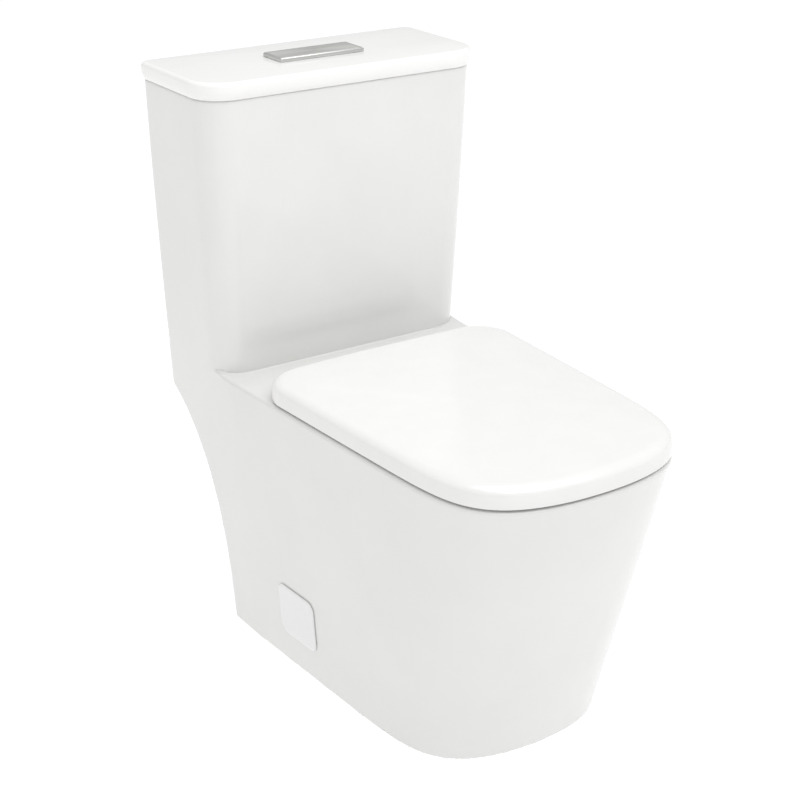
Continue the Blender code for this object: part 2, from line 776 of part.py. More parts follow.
def bowl_solid(name, wall=0.0):
    rings = []
    for z, half, front, back in bowl_sections(wall):
        outline = superellipse(half, (back - front) / 2, (back + front) / 2, 2.35, 32)
        rings.append(at_height(outline, z))
    return loft(name, rings)


def trap_path():
    """Centre line of the trapway, from the sump over the weir to the floor outlet."""
    low = SUMP_FLOOR + TRAP_RADIUS
    crown = TRAP_CROWN
    stations = [
        (0, OUTLET_Y - 0.130, low - 0.004),
        (0, OUTLET_Y - 0.080, low + 0.002),
        (0, OUTLET_Y - 0.022, low + 0.042),
        (0, OUTLET_Y + 0.026, crown - 0.024),
        (0, OUTLET_Y + 0.072, crown),
        (0, OUTLET_Y + 0.112, crown - 0.040),
        (0, OUTLET_Y + 0.094, crown - 0.108),
        (0, OUTLET_Y + 0.036, low - 0.050),
        (0, OUTLET_Y, 0.016),
        (0, OUTLET_Y, -0.012),
    ]
    return smooth_path(stations, 3)


def base_hollow():
    """The room inside the skirt, round the bowl, the trapway and the water channel."""
    back = TANK_BACK_Y - BACK_FLANGE
    rings = []
    for z in (-0.02, 0.0, DECK_UNDERSIDE / 2, DECK_UNDERSIDE):
        level = max(z, 0.0)
        width = side_half_width(level) - SKIRT_WALL
        half = [(width, back), (width, (back + TAPER_START_Y) / 2)] + front_half(level)
        outline = mirrored(half)
        front_part = outline[2:-2]
        moved = inset(front_part[::-1], SKIRT_WALL)[::-1]
        moved[0] = (width, TAPER_START_Y)
        moved[-1] = (-width, TAPER_START_Y)
        rings.append(at_height(outline[:2] + moved + outline[-2:], z))
    hollow = loft("base_hollow", rings)
    cut(hollow, back_cutter("hollow_back", BACK_FLANGE, BACK_FLANGE))
    cut(hollow, bowl_solid("bowl_shell", BOWL_WALL))
    shell = tube_rings(trap_path(), TRAP_RADIUS + TRAP_WALL, 14)
    cut(hollow, loft("trap_shell", shell))
    cut(hollow, channel("channel_shell", CHANNEL_WALL))
    web_low = (-0.25, OUTLET_Y - WEB_HALF_LENGTH, -0.05)
    web_high = (0.25, OUTLET_Y + WEB_HALF_LENGTH, WEB_THICKNESS)
    return cut(hollow, box("foot_web", web_low, web_high))


def channel(name, wall=0.0):
    """The water way from under the flush valve to the back of the bowl."""
    top = DECK_UNDERSIDE + (0.002 if wall else 0.0)
    half = CHANNEL_HALF_WIDTH + wall
    low = (-half, BOWL_BACK_Y - 0.030, DECK_UNDERSIDE - CHANNEL_HEIGHT - wall)
    high = (half, VALVE_Y + CHANNEL_HALF_WIDTH + wall, top)
    return box(name, low, high)


def access_outline(margin):
    half_y = CAP_LENGTH / 2 - margin
    half_z = CAP_HEIGHT / 2 - margin
    radius = max(CAP_CORNER_RADIUS - margin, 0.004)
    return rounded_rectangle(half_y, half_z, radius, (OUTLET_Y, CAP_CENTRE_Z))


def access_cutter(side):
    outline = access_outline(CAP_LEDGE - 2 * GAP)
    near = CLOSET_BOLT_SPACING / 2 + 0.035
    rings = [[(side * x, y, z) for y, z in outline] for x in (near, 0.25)]
    return loft("access_hole", rings)


def ceramic_body(material):
    body = ceramic_blank()
    cut(body, back_cutter("back_cut"))
    cut(body, base_hollow())
    opening_low = (-BACK_OPENING_HALF_WIDTH, OUTLET_Y + WEB_HALF_LENGTH + 0.04, -0.02)
    opening_high = (BACK_OPENING_HALF_WIDTH, BACK_Y + 0.05, BACK_OPENING_HEIGHT)
    opening = box("back_opening", opening_low, opening_high)
    cut(opening, loft("trap_keep", tube_rings(trap_path(), TRAP_RADIUS + TRAP_WALL, 14)))
    cut(body, opening)
    cut(body, bowl_solid("bowl_inside"))
    cut(body, channel("channel_inside"))
    cut(body, tank_cavity())
    drill_floor(body, VALVE_HOLE_RADIUS, 0, VALVE_Y, FINE_ROUND)
    cut(body, loft("trap_inside", tube_rings(trap_path(), TRAP_RADIUS, 14)))
    recess = [(TRAP_RADIUS + TRAP_WALL, -0.01), (SEAL_OUTER_RADIUS + GAP, -0.01)]
    recess += [(SEAL_OUTER_RADIUS + GAP, SEAL_DEPTH), (TRAP_RADIUS + TRAP_WALL, SEAL_DEPTH)]
    cut(body, turned("seal_recess", recess, (0, OUTLET_Y, 0), sides=FINE_ROUND))
    for side in (-1, 1):
        cut(body, access_cutter(side))
        closet_x = side * CLOSET_BOLT_SPACING / 2
        drill(body, CLOSET_HOLE_RADIUS, closet_x, OUTLET_Y, -0.01, WEB_THICKNESS + 0.01)
        bolt_hole_radius = VALVE_BOLT_RADIUS + VALVE_BOLT_CLEARANCE
        drill_floor(body, bolt_hole_radius, side * VALVE_BOLT_X, VALVE_Y, 12)
        drill_floor(body, SEAT_ANCHOR_RADIUS + GAP, side * HINGE_X, SEAT_BOLT_Y)
    drill_floor(body, FILL_HOLE_RADIUS, FILL_X, VALVE_Y)
    body.data.materials.clear()
    body.data.materials.append(material)
    return body


# ---------------------------------------------------------------------------------------------
# Tank lid and flush button
# ---------------------------------------------------------------------------------------------


def lid_outline(margin):
    """The lid's plan, with large front corners and small back ones, anticlockwise."""
    half = LID_HALF_WIDTH - margin
    front = LID_FRONT_Y + margin
    back = BACK_Y - margin
    front_radius = TANK_FRONT_RADIUS + LID_FRONT_OVERHANG - margin
    back_radius = TANK_BACK_RADIUS + LID_BACK_RADIUS_GROWTH - margin / 2
    points = back_corner(half, back, back_radius)
    left = [(-x, y) for x, y in reversed(points)]
    for k in range(8):
        angle = math.pi / 2 * k / 7
        x = half - front_radius * (1 - math.cos(angle))
        y = front + front_radius * (1 - math.sin(angle))
        left.append((-x, y))
    right_front = [(-x, y) for x, y in reversed(left[-8:])]
    return points + left + right_front


def tank_lid(material):
    low = SEAM_HEIGHT + GAP
    top = LID_TOP_HEIGHT
    side = [(0.0040, low), (0.0012, low + 0.006), (0.0, low + 0.012)]
    side += [(0.0012, top - 0.0050), (0.0040, top - 0.0014), (0.0090, top)]
    lid = loft("tank_lid", [at_height(lid_outline(margin), z) for margin, z in side], material)
    # locating rib just inside the tank's walls
    rib_half = TOP_HALF_WIDTH - TANK_WALL - LID_RIB_CLEARANCE - 0.001
    rib_front = TANK_FRONT_TOP_Y + TANK_WALL + LID_RIB_CLEARANCE + 0.001
    rib_back = TANK_BACK_Y - TANK_WALL - LID_RIB_CLEARANCE
    centre = (0, (rib_front + rib_back) / 2)
    half_y = (rib_back - rib_front) / 2
    outer = rounded_rectangle(rib_half, half_y, TANK_FRONT_RADIUS - TANK_WALL, centre)
    rib_low = low - LID_RIB_DEPTH
    join(lid, loft("rib", [at_height(outer, z) for z in (rib_low, low + 0.002)], material))
    hollow_half = rib_half - LID_RIB_WIDTH
    hollow_radius = TANK_FRONT_RADIUS - TANK_WALL - LID_RIB_WIDTH
    inner = rounded_rectangle(hollow_half, half_y - LID_RIB_WIDTH, hollow_radius, centre)
    cut(lid, loft("hollow", [at_height(inner, z) for z in (rib_low - 0.01, LID_WEB_UNDERSIDE)]))
    hole = 2 * GAP + BEZEL_WALL + BUTTON_CLEARANCE
    half_x = BUTTON_LENGTH / 2 + hole
    half_hole_y = BUTTON_WIDTH / 2 + hole
    outline = rounded_rectangle(half_x, half_hole_y, 0.003, (0, LID_CENTRE_Y), 2)
    ends = (LID_WEB_UNDERSIDE - 0.02, LID_TOP_HEIGHT + 0.01)
    return cut(lid, loft("button_hole", [at_height(outline, z) for z in ends]))


def button_outline(margin, radius=0.0015):
    """The button's plan, grown by a margin."""
    half_x = BUTTON_LENGTH / 2 + margin
    half_y = BUTTON_WIDTH / 2 + margin
    return rounded_rectangle(half_x, half_y, radius, (0, LID_CENTRE_Y), 2)


def button_bezel(material):
    """Frame on the lid, with a pocket for the button below it and a threaded stem for its clamp."""
    sleeve = BUTTON_CLEARANCE + BEZEL_WALL
    border = BUTTON_CLEARANCE + BEZEL_BORDER
    low = POCKET_FLOOR - BEZEL_FLOOR
    rings = [
        at_height(button_outline(sleeve), low),
        at_height(button_outline(sleeve), LID_TOP_HEIGHT + GAP),
        at_height(button_outline(border), LID_TOP_HEIGHT + GAP),
        at_height(button_outline(border), BEZEL_TOP - BEZEL_CHAMFER),
        at_height(button_outline(border - BEZEL_CHAMFER), BEZEL_TOP),
    ]
    bezel = loft("button_bezel", rings, material)
    pocket = [at_height(button_outline(BUTTON_CLEARANCE), z) for z in (POCKET_FLOOR, BEZEL_TOP + 0.01)]
    cut(bezel, loft("pocket", pocket))
    stem_low = (0, LID_CENTRE_Y, STEM_THREAD_BOTTOM)
    stem_high = (0, LID_CENTRE_Y, low + BEZEL_FLOOR / 2)
    join(bezel, rod("stem", STEM_THREAD_RADIUS, stem_low, stem_high, material, FINE_ROUND))
    drill(bezel, BEZEL_STEM_BORE, 0, LID_CENTRE_Y, STEM_THREAD_BOTTOM - 0.01, BEZEL_TOP)
    boss_hole = PUSH_BOSS_RADIUS + PUSH_HOLE_CLEARANCE
    return drill(bezel, boss_hole, PUSH_X, LID_CENTRE_Y, low - 0.01, BEZEL_TOP)


def clamp_bridge(material):
    """Bar across the underside of the lid's button hole, bent round the frame's pocket."""
    half_y = BUTTON_WIDTH / 2 + BRIDGE_OVERLAP
    top = LID_WEB_UNDERSIDE - GAP
    outline = rounded_rectangle(BRIDGE_HALF_WIDTH, half_y, 0.004, (0, LID_CENTRE_Y), 2)
    bridge = loft("button_clamp_bridge", [at_height(outline, z) for z in (BRIDGE_LOW, top)], material)
    room = BUTTON_WIDTH / 2 + BRIDGE_CLEARANCE
    hollow_low = (-0.03, LID_CENTRE_Y - room, BRIDGE_LOW + BRIDGE_PLATE)
    cut(bridge, box("bridge_hollow", hollow_low, (0.03, LID_CENTRE_Y + room, top + 0.01)))
    hole = STEM_THREAD_RADIUS + GAP
    return drill(bridge, hole, 0, LID_CENTRE_Y, BRIDGE_LOW - 0.01, top + 0.01, FINE_ROUND)


def clamp_nut(material):
    """Hand nut with a wider flange against the bridge."""
    top = BRIDGE_LOW - GAP
    low = top - CLAMP_NUT_HEIGHT
    inner = STEM_THREAD_RADIUS + GAP
    outer = CLAMP_NUT_RADIUS
    profile = [(inner, low), (outer - 0.001, low), (outer, low + 0.001), (outer, top - 0.002)]
    profile += [(outer + 0.002, top - 0.002), (outer + 0.002, top), (inner, top)]
    return turned("button_clamp_nut", profile, (0, LID_CENTRE_Y, 0), material, sides=FINE_ROUND)


def flush_button(material):
    """Plate with a guide stem at its middle and a boss for the push rod."""
    rings = [
        at_height(button_outline(0.0), PLATE_UNDERSIDE),
        at_height(button_outline(0.0), BEZEL_TOP - BUTTON_EDGE),
        at_height(button_outline(-0.0005), BEZEL_TOP),
    ]
    plate = loft("flush_button", rings, material)
    stem_top = PLATE_UNDERSIDE + 0.001
    guide_low = (0, LID_CENTRE_Y, POCKET_FLOOR - 0.004)
    join(plate, rod("guide", GUIDE_RADIUS, guide_low, (0, LID_CENTRE_Y, stem_top), material))
    boss_low = POCKET_FLOOR + 0.0005
    bore_top = PUSH_ROD_TOP + 0.001
    boss = [(0, bore_top), (PUSH_BOSS_BORE, bore_top), (PUSH_BOSS_BORE, boss_low)]
    boss += [(PUSH_BOSS_RADIUS, boss_low), (PUSH_BOSS_RADIUS, stem_top), (0, stem_top)]
    return join(plate, turned("boss", boss, (PUSH_X, LID_CENTRE_Y, 0), material))


def flush_rod(material):
    """Threaded rod with a tapered tip that stands on the rocker."""
    tip = ROCKER_TOP + GAP
    top = PUSH_ROD_TOP
    radius = PUSH_ROD_RADIUS
    profile = [(0, tip), (radius - 0.0015, tip), (radius, tip + 0.010), (radius, top), (0, top)]
    return turned("flush_rod", profile, (PUSH_X, VALVE_Y, 0), material, sides=12)


def button_spring(material):
    """Coil spring round the guide stem, from the pocket's floor to the plate."""
    low = POCKET_FLOOR + SPRING_WIRE + GAP
    high = PLATE_UNDERSIDE - SPRING_WIRE - GAP
    steps = 12 * SPRING_TURNS
    path = []
    for k in range(steps + 1):
        angle = math.tau * k / 12
        x = SPRING_RADIUS * math.cos(angle)
        y = LID_CENTRE_Y + SPRING_RADIUS * math.sin(angle)
        path.append(Vector((x, y, low + (high - low) * k / steps)))
    return loft("button_spring", tube_rings(path, SPRING_WIRE, 5), material)


# ---------------------------------------------------------------------------------------------
# Flush valve
# ---------------------------------------------------------------------------------------------


def flush_valve_seat(material):
    """Flange on the tank's floor with a short neck through it and a raised lip."""
    flange = VALVE_FLANGE_Z
    neck = DECK_UNDERSIDE + 0.001
    lip = flange + VALVE_LIP_HEIGHT
    bore = VALVE_BORE_RADIUS
    lip_top = bore + VALVE_LIP_WIDTH
    lip_foot = lip_top + VALVE_LIP_SLOPE
    profile = [(bore, neck), (VALVE_NECK_RADIUS, neck), (VALVE_NECK_RADIUS, flange)]
    profile += [(VALVE_FLANGE_RADIUS, flange), (VALVE_FLANGE_RADIUS, VALVE_FLANGE_TOP)]
    profile += [(lip_foot, VALVE_FLANGE_TOP), (lip_foot, lip - 0.001), (lip_top, lip), (bore, lip)]
    seat = turned("flush_valve_seat", profile, (0, VALVE_Y, 0), material, sides=FINE_ROUND)
    hole = VALVE_BOLT_RADIUS + 2 * GAP
    for side in (-1, 1):
        drill(seat, hole, side * VALVE_BOLT_X, VALVE_Y, flange - 0.01, flange + 0.02, 12)
    # a flat keeps the front of a wide flange clear of the tank's wall
    front = TANK_FRONT_FOOT_Y + TANK_WALL + VALVE_FLANGE_CLEARANCE
    trim = box("trim", (-0.2, front - 0.1, flange - 0.01), (0.2, front, VALVE_FLANGE_TOP + 0.01))
    return cut(seat, trim)


def flush_valve_gasket(material):
    low = RIM_HEIGHT + GAP
    high = low + TANK_GASKET_THICKNESS
    inner = VALVE_HOLE_RADIUS + 0.001
    outer = inner + VALVE_GASKET_WIDTH
    return washer("flush_valve_gasket", inner, outer, low, high, 0, VALVE_Y, material, FINE_ROUND)


def flush_valve_tower(material):
    """Cage that guides the canister, with two lugs for the rocker's pin."""
    base = VALVE_FLANGE_TOP + GAP
    inner = TOWER_INNER_RADIUS
    outer = TOWER_OUTER_RADIUS
    place = (0, VALVE_Y, material, FINE_ROUND)
    tower = washer("flush_valve_tower", inner, outer, base, base + 0.005, *place)
    hoop_low = CANISTER_TOP - 0.024
    hoop_inner = CANISTER_RADIUS + HOOP_CLEARANCE
    hoop = washer("hoop", hoop_inner, outer, hoop_low, hoop_low + 0.006, *place)
    column_tops = {-1: ROCKER_Z - 0.010, 1: hoop_low + 0.003}
    for side, top in column_tops.items():
        edges = sorted((side * (inner + 0.0006), side * (outer - 0.0004)))
        low = (edges[0], VALVE_Y - 0.007, base + 0.002)
        join(tower, box("column", low, (edges[1], VALVE_Y + 0.007, top), material))
    join(tower, hoop)
    lug_inside = ROCKER_HALF_WIDTH + LUG_CLEARANCE
    for side in (-1, 1):
        edges = sorted((VALVE_Y + side * lug_inside, VALVE_Y + side * LUG_OUTSIDE))
        low = (-(outer - 0.0002), edges[0], ROCKER_Z - 0.022)
        join(tower, box("lug", low, (ROCKER_X + 0.0045, edges[1], ROCKER_Z + 0.0045), material))
    pin_ends = [(ROCKER_X, VALVE_Y + side * 0.02, ROCKER_Z) for side in (-1, 1)]
    return cut(tower, rod("pin_hole", ROCKER_PIN_RADIUS + GAP, *pin_ends, sides=12))


def rocker_pin(material):
    reach = LUG_OUTSIDE + 0.002
    ends = [(ROCKER_X, VALVE_Y + side * reach, ROCKER_Z) for side in (-1, 1)]
    return rod("rocker_pin", ROCKER_PIN_RADIUS, *ends, material, 12)


def flush_rocker(material):
    """Lever that turns the button's push into the canister's lift."""
    half = ROCKER_THICKNESS / 2
    low = (PUSH_X - 0.0030, VALVE_Y - ROCKER_HALF_WIDTH, ROCKER_Z - half)
    high = (0.0012, VALVE_Y + ROCKER_HALF_WIDTH, ROCKER_Z + half)
    rocker = box("flush_rocker", low, high, material)
    hub = [(ROCKER_X, VALVE_Y + side * ROCKER_HALF_WIDTH * 0.999, ROCKER_Z) for side in (-1, 1)]
    join(rocker, rod("hub", ROCKER_HUB_RADIUS, *hub, material, ROUND))
    hole = [(ROCKER_X, VALVE_Y + side * 0.02, ROCKER_Z) for side in (-1, 1)]
    return cut(rocker, rod("hub_hole", ROCKER_PIN_RADIUS + GAP, *hole, sides=12))


def flush_canister(material):
    """Open tube with a foot flange, and a bail over its top that the rocker lifts."""
    low = SEAL_Z + SEAL_THICKNESS + GAP
    foot_top = low + CANISTER_FOOT_THICKNESS
    outer = CANISTER_RADIUS
    inner = outer - CANISTER_WALL
    profile = [(inner, low), (CANISTER_FOOT_RADIUS, low), (CANISTER_FOOT_RADIUS, foot_top)]
    profile += [(outer, foot_top), (outer, CANISTER_TOP), (inner, CANISTER_TOP)]
    canister = turned("flush_canister", profile, (0, VALVE_Y, 0), material, sides=FINE_ROUND)
    bar_z = ROCKER_TOP + GAP + BAIL_RADIUS
    for side in (-1, 1):
        edges = sorted((VALVE_Y + side * (inner + GAP), VALVE_Y + side * (outer - GAP)))
        low_corner = (-0.003, edges[0], CANISTER_TOP - 0.010)
        join(canister, box("upright", low_corner, (0.003, edges[1], bar_z + 0.0030), material))
    ends = [(0, VALVE_Y + side * (outer - 0.0008), bar_z) for side in (-1, 1)]
    return join(canister, rod("bail", BAIL_RADIUS, *ends, material, 12))


def flush_seal(material):
    inner = VALVE_BORE_RADIUS + SEAL_OVERLAP
    outer = inner + SEAL_WIDTH
    high = SEAL_Z + SEAL_THICKNESS
    return washer("flush_seal", inner, outer, SEAL_Z, high, 0, VALVE_Y, material, FINE_ROUND)


def flush_valve_bolt(name, side, material):
    top = VALVE_FLANGE_TOP + GAP
    low = DECK_UNDERSIDE - 0.011
    shank = VALVE_BOLT_RADIUS
    head = VALVE_BOLT_HEAD_RADIUS
    profile = [(0, low), (shank, low), (shank, top), (head, top), (head, top + 0.003)]
    profile += [(head - 0.0017, top + 0.004), (0, top + 0.004)]
    return turned(name, profile, (side * VALVE_BOLT_X, VALVE_Y, 0), material, sides=12)


def flush_valve_nut(name, side, material):
    top = DECK_UNDERSIDE - GAP
    x = side * VALVE_BOLT_X
    outer = VALVE_BOLT_RADIUS + 0.0038
    return nut(name, VALVE_BOLT_RADIUS, outer, top - 0.006, top, x, VALVE_Y, material)


# ---------------------------------------------------------------------------------------------
# Fill valve
# ---------------------------------------------------------------------------------------------


def fill_valve_riser(material):
    """Threaded shank through the tank's floor, base flange and riser tube."""
    low = DECK_UNDERSIDE - FILL_SHANK_DEPTH
    flange = VALVE_FLANGE_Z
    bore = FILL_INLET_BORE
    shank = FILL_SHANK_RADIUS
    riser = FILL_RISER_RADIUS
    profile = [(0, low + 0.030), (bore, low + 0.030), (bore, low), (shank - 0.001, low)]
    profile += [(shank, low + 0.001), (shank, flange), (FILL_FLANGE_RADIUS, flange)]
    profile += [(FILL_FLANGE_RADIUS, flange + 0.004), (riser, flange + 0.008)]
    profile += [(riser, FILL_RISER_TOP), (0, FILL_RISER_TOP)]
    return turned("fill_valve_riser", profile, (FILL_X, VALVE_Y, 0), material, sides=ROUND)


def fill_valve_gasket(material):
    low = RIM_HEIGHT + GAP
    high = low + TANK_GASKET_THICKNESS
    inner = FILL_SHANK_RADIUS + GAP
    outer = FILL_GASKET_RADIUS
    return washer("fill_valve_gasket", inner, outer, low, high, FILL_X, VALVE_Y, material)


def fill_valve_locknut(material):
    top = DECK_UNDERSIDE - GAP
    low = top - LOCKNUT_HEIGHT
    inner = FILL_SHANK_RADIUS + GAP
    profile = [(inner, low), (LOCKNUT_RADIUS, low), (LOCKNUT_RADIUS, top - 0.003)]
    profile += [(LOCKNUT_FLANGE_RADIUS, top - 0.003), (LOCKNUT_FLANGE_RADIUS, top), (inner, top)]
    return turned("fill_valve_locknut", profile, (FILL_X, VALVE_Y, 0), material)


def fill_valve_head(material):
    """Cap with the inlet mechanism: two lugs for the float arm and a nipple for the refill tube."""
    low = FILL_RISER_TOP + GAP
    top = FILL_RISER_TOP + FILL_HEAD_HEIGHT
    outer = FILL_HEAD_RADIUS
    cap = outer - 0.003
    profile = [(0, low), (outer, low), (outer, low + 0.030), (cap, low + 0.034)]
    profile += [(cap, top - 0.004), (cap - 0.002, top), (0, top)]
    head = turned("fill_valve_head", profile, (FILL_X, VALVE_Y, 0), material, sides=ROUND)
    lug_inside = ROCKER_HALF_WIDTH + LUG_CLEARANCE
    for side in (-1, 1):
        edges = sorted((FILL_X + side * lug_inside, FILL_X + side * LUG_OUTSIDE))
        low_corner = (edges[0], ARM_PIVOT_Y - 0.004, top - 0.006)
        high_corner = (edges[1], ARM_PIVOT_Y + 0.004, ARM_PIVOT_Z + 0.004)
        join(head, box("lug", low_corner, high_corner, material))
    pin_ends = [(FILL_X + side * 0.02, ARM_PIVOT_Y, ARM_PIVOT_Z) for side in (-1, 1)]
    cut(head, rod("pin_hole", FLOAT_ARM_PIN_RADIUS + GAP, *pin_ends, sides=12))
    nipple_z = low + NIPPLE_HEIGHT
    ends = [(FILL_X + outer + reach, VALVE_Y, nipple_z) for reach in (-0.0035, 0.0075)]
    return join(head, rod("nipple", NIPPLE_RADIUS, *ends, material, 12))


def float_arm_pin(material):
    reach = LUG_OUTSIDE + 0.0015
    ends = [(FILL_X + side * reach, ARM_PIVOT_Y, ARM_PIVOT_Z) for side in (-1, 1)]
    return rod("float_arm_pin", FLOAT_ARM_PIN_RADIUS, *ends, material, 12)


def float_arm(material):
    """Lever from the head's pin to a fork round the float's link."""
    half = ROCKER_THICKNESS / 2
    width = ROCKER_HALF_WIDTH
    tip = FLOAT_ARM_LENGTH + 0.004
    arm = box("float_arm", (-width, -tip, -half), (width, 0.003, half), material)
    hub = [(side * width * 0.999, 0, 0) for side in (-1, 1)]
    join(arm, rod("hub", FLOAT_ARM_HUB_RADIUS, *hub, material, ROUND))
    hub_hole = FLOAT_ARM_PIN_RADIUS + GAP
    cut(arm, rod("hub_hole", hub_hole, (-0.02, 0, 0), (0.02, 0, 0), sides=12))
    fork = FLOAT_LINK_RADIUS + 0.0008
    cut(arm, box("fork", (-fork, -tip - 0.01, -0.01), (fork, -FLOAT_ARM_LENGTH + 0.0045, 0.01)))
    turn = Matrix.Rotation(math.radians(-FLOAT_ARM_RISE_DEG), 4, "X")
    arm.data.transform(Matrix.Translation((FILL_X, ARM_PIVOT_Y, ARM_PIVOT_Z)) @ turn)
    return arm


def fill_float(material):
    """Float cup that slides on the riser."""
    top = FLOAT_TOP
    low = top - FLOAT_HEIGHT
    inner = FILL_RISER_RADIUS + FLOAT_CLEARANCE
    outer = FLOAT_RADIUS
    profile = [(inner, low), (outer - 0.002, low), (outer, low + 0.003), (outer, top - 0.002)]
    profile += [(outer - 0.002, top), (inner, top)]
    return turned("fill_float", profile, (FILL_X, VALVE_Y, 0), material, sides=FINE_ROUND)


def float_link(material):
    """Rod from the float to its arm, with a collar on each side of the arm."""
    foot = FLOAT_TOP + GAP
    thin = FLOAT_LINK_RADIUS
    collar = FLOAT_COLLAR_RADIUS
    top = ARM_END_Z + 2 * FLOAT_COLLAR_REACH
    profile = [(0, foot), (thin + 0.0008, foot), (thin + 0.0008, foot + 0.002), (thin, foot + 0.003)]
    for middle in (ARM_END_Z - FLOAT_COLLAR_REACH, ARM_END_Z + FLOAT_COLLAR_REACH):
        profile += [(thin, middle - 0.001), (collar, middle - 0.001)]
        profile += [(collar, middle + 0.001), (thin, middle + 0.001)]
    profile += [(thin, top), (0, top)]
    return turned("float_link", profile, (FILL_X, FLOAT_LINK_Y, 0), material, sides=12)


def refill_tube(material):
    """Small hose from the fill valve's nipple to the overflow."""
    start_x = FILL_X + FILL_HEAD_RADIUS + 0.0079
    start_z = FILL_RISER_TOP + GAP + NIPPLE_HEIGHT
    end_z = CANISTER_TOP - 0.018 + GAP
    end_reach = CANISTER_RADIUS + 0.010
    end_x = -end_reach * math.cos(math.radians(52))
    end_y = VALVE_Y - end_reach * math.sin(math.radians(52))
    stations = [
        (start_x, VALVE_Y, start_z),
        (start_x + 0.0046, VALVE_Y, start_z),
        (start_x + 0.0096, VALVE_Y - 0.001, start_z + 0.001),
        (start_x + 0.0226, VALVE_Y - 0.014, start_z + 0.010),
        (end_x - 0.024, end_y - 0.006, start_z + 0.024),
        (end_x - 0.005, end_y - 0.002, start_z + 0.018),
        (end_x, end_y, end_z + 0.012),
        (end_x, end_y, end_z),
    ]
    rings = tube_rings(smooth_path(stations, 4), REFILL_TUBE_RADIUS, 8)
    return loft("refill_tube", rings, material)


# ---------------------------------------------------------------------------------------------
# Seat and hinge
# ---------------------------------------------------------------------------------------------


def seat_outline(margin, back_y, corner, bow=0.0):
    """The rim's outline moved in by a margin, and closed by a back edge with round corners."""
    shoulder = back_y - corner - bow
    radius = corner + margin
    side = [(half_width(y, RIM_HEIGHT), y) for y in (shoulder, shoulder - 0.03, shoulder - 0.06)]
    rest = [point for point in front_half(RIM_HEIGHT) if point[1] < shoulder - 0.08]
    width = side[0][0]
    back = []
    for k in range(9):
        share = k / 3 if k < 3 else 1.0
        angle = math.pi / 2 * (1 - max(0, k - 3) / 6)
        x = (width - radius) * share + (radius * math.cos(angle) if k >= 3 else 0.0)
        lift = radius * math.sin(angle)
        back.append((x, shoulder + lift + bow * (1 - (x / width) ** 2)))
    half = back + side + rest
    whole = half + [(-x, y) for x, y in reversed(half) if x > 0]
    return inset(whole[::-1], margin)


def seat_cover(material):
    """Shallow dome with a skirt that hides the ring, and a knuckle beside each hinge post."""
    centre = SEAT_CENTRE_Y
    plan = seat_outline(COVER_INSET, COVER_BACK_Y, COVER_CORNER_RADIUS, COVER_BACK_BOW)
    edge = by_angle(plan, centre)
    low = COVER_EDGE_Z
    top = COVER_TOP_Z
    steps = [(0.0010, low), (0.0, low + 0.004), (0.0004, top - 0.012)]
    steps += [(0.0026, top - 0.006), (0.0070, top - 0.0024), (0.0140, top - 0.0006)]
    rings = [at_height(inset(edge, margin) if margin else edge, z) for margin, z in steps]
    last = inset(edge, steps[-1][0])
    for share in (0.80, 0.50, 0.20):
        z = top - 0.0006 + COVER_CROWN * (1 - share**2)
        rings.append([(x * share, centre + (y - centre) * share, z) for x, y in last])
    ceiling = at_height(inset(edge, COVER_SKIRT + 0.004), COVER_CEILING_Z)
    inner = inset(edge, COVER_SKIRT)
    inside = [ceiling, at_height(inner, COVER_CEILING_Z - 0.004), at_height(inner, low)]
    cover = loft("seat_cover", inside + rings, material)
    # the back edge is open over each hinge post and the ring's knuckle beside it
    clear = KNUCKLE_GAP
    for side in (-1, 1):
        middle = side * HINGE_X
        near = middle - side * (HINGE_FOOT_WIDTH / 2 + clear)
        far = middle + side * (HINGE_POST_WIDTH / 2 + HINGE_KNUCKLE + 2 * clear)
        edges = sorted((near, far))
        notch_low = (edges[0], HINGE_Y - 0.004, low - 0.01)
        notch_high = (edges[1], COVER_BACK_Y + 0.01, HINGE_Z + HINGE_RADIUS + 0.0012)
        cut(cover, box("notch", notch_low, notch_high))
        knuckle_far = middle - side * (HINGE_POST_WIDTH / 2 + clear)
        knuckle_near = knuckle_far - side * (DAMPER_LENGTH + 0.001)
        ends = [(x, HINGE_Y, HINGE_Z) for x in (knuckle_near, knuckle_far)]
        edges = sorted((knuckle_near, knuckle_far))
        web_half = HINGE_RADIUS - 0.001
        web_low = (edges[0] + 0.0001, HINGE_Y - web_half, HINGE_Z)
        web_high = (edges[1] - 0.0001, HINGE_Y + web_half, COVER_CEILING_Z + 0.002)
        web = box("web", web_low, web_high, material)
        join(cover, web, rod("knuckle", HINGE_RADIUS, *ends, material))
        bore_far = knuckle_far + side * 0.01
        bore_near = knuckle_near + side * 0.0006
        bore = [(x, HINGE_Y, HINGE_Z) for x in (bore_near, bore_far)]
        cut(cover, rod("bore", DAMPER_RADIUS + GAP, *bore))
    # the back skirt keeps clear of the deck as the cover opens
    cut(cover, back_relief())
    return cover


def back_relief():
    """Room under the axis for the back skirt to swing through."""
    reach = COVER_BACK_Y + 0.02
    low = (-0.30, HINGE_Y - 0.0005, RIM_HEIGHT - 0.01)
    return box("back_relief", low, (0.30, reach, HINGE_Z - 0.0035))


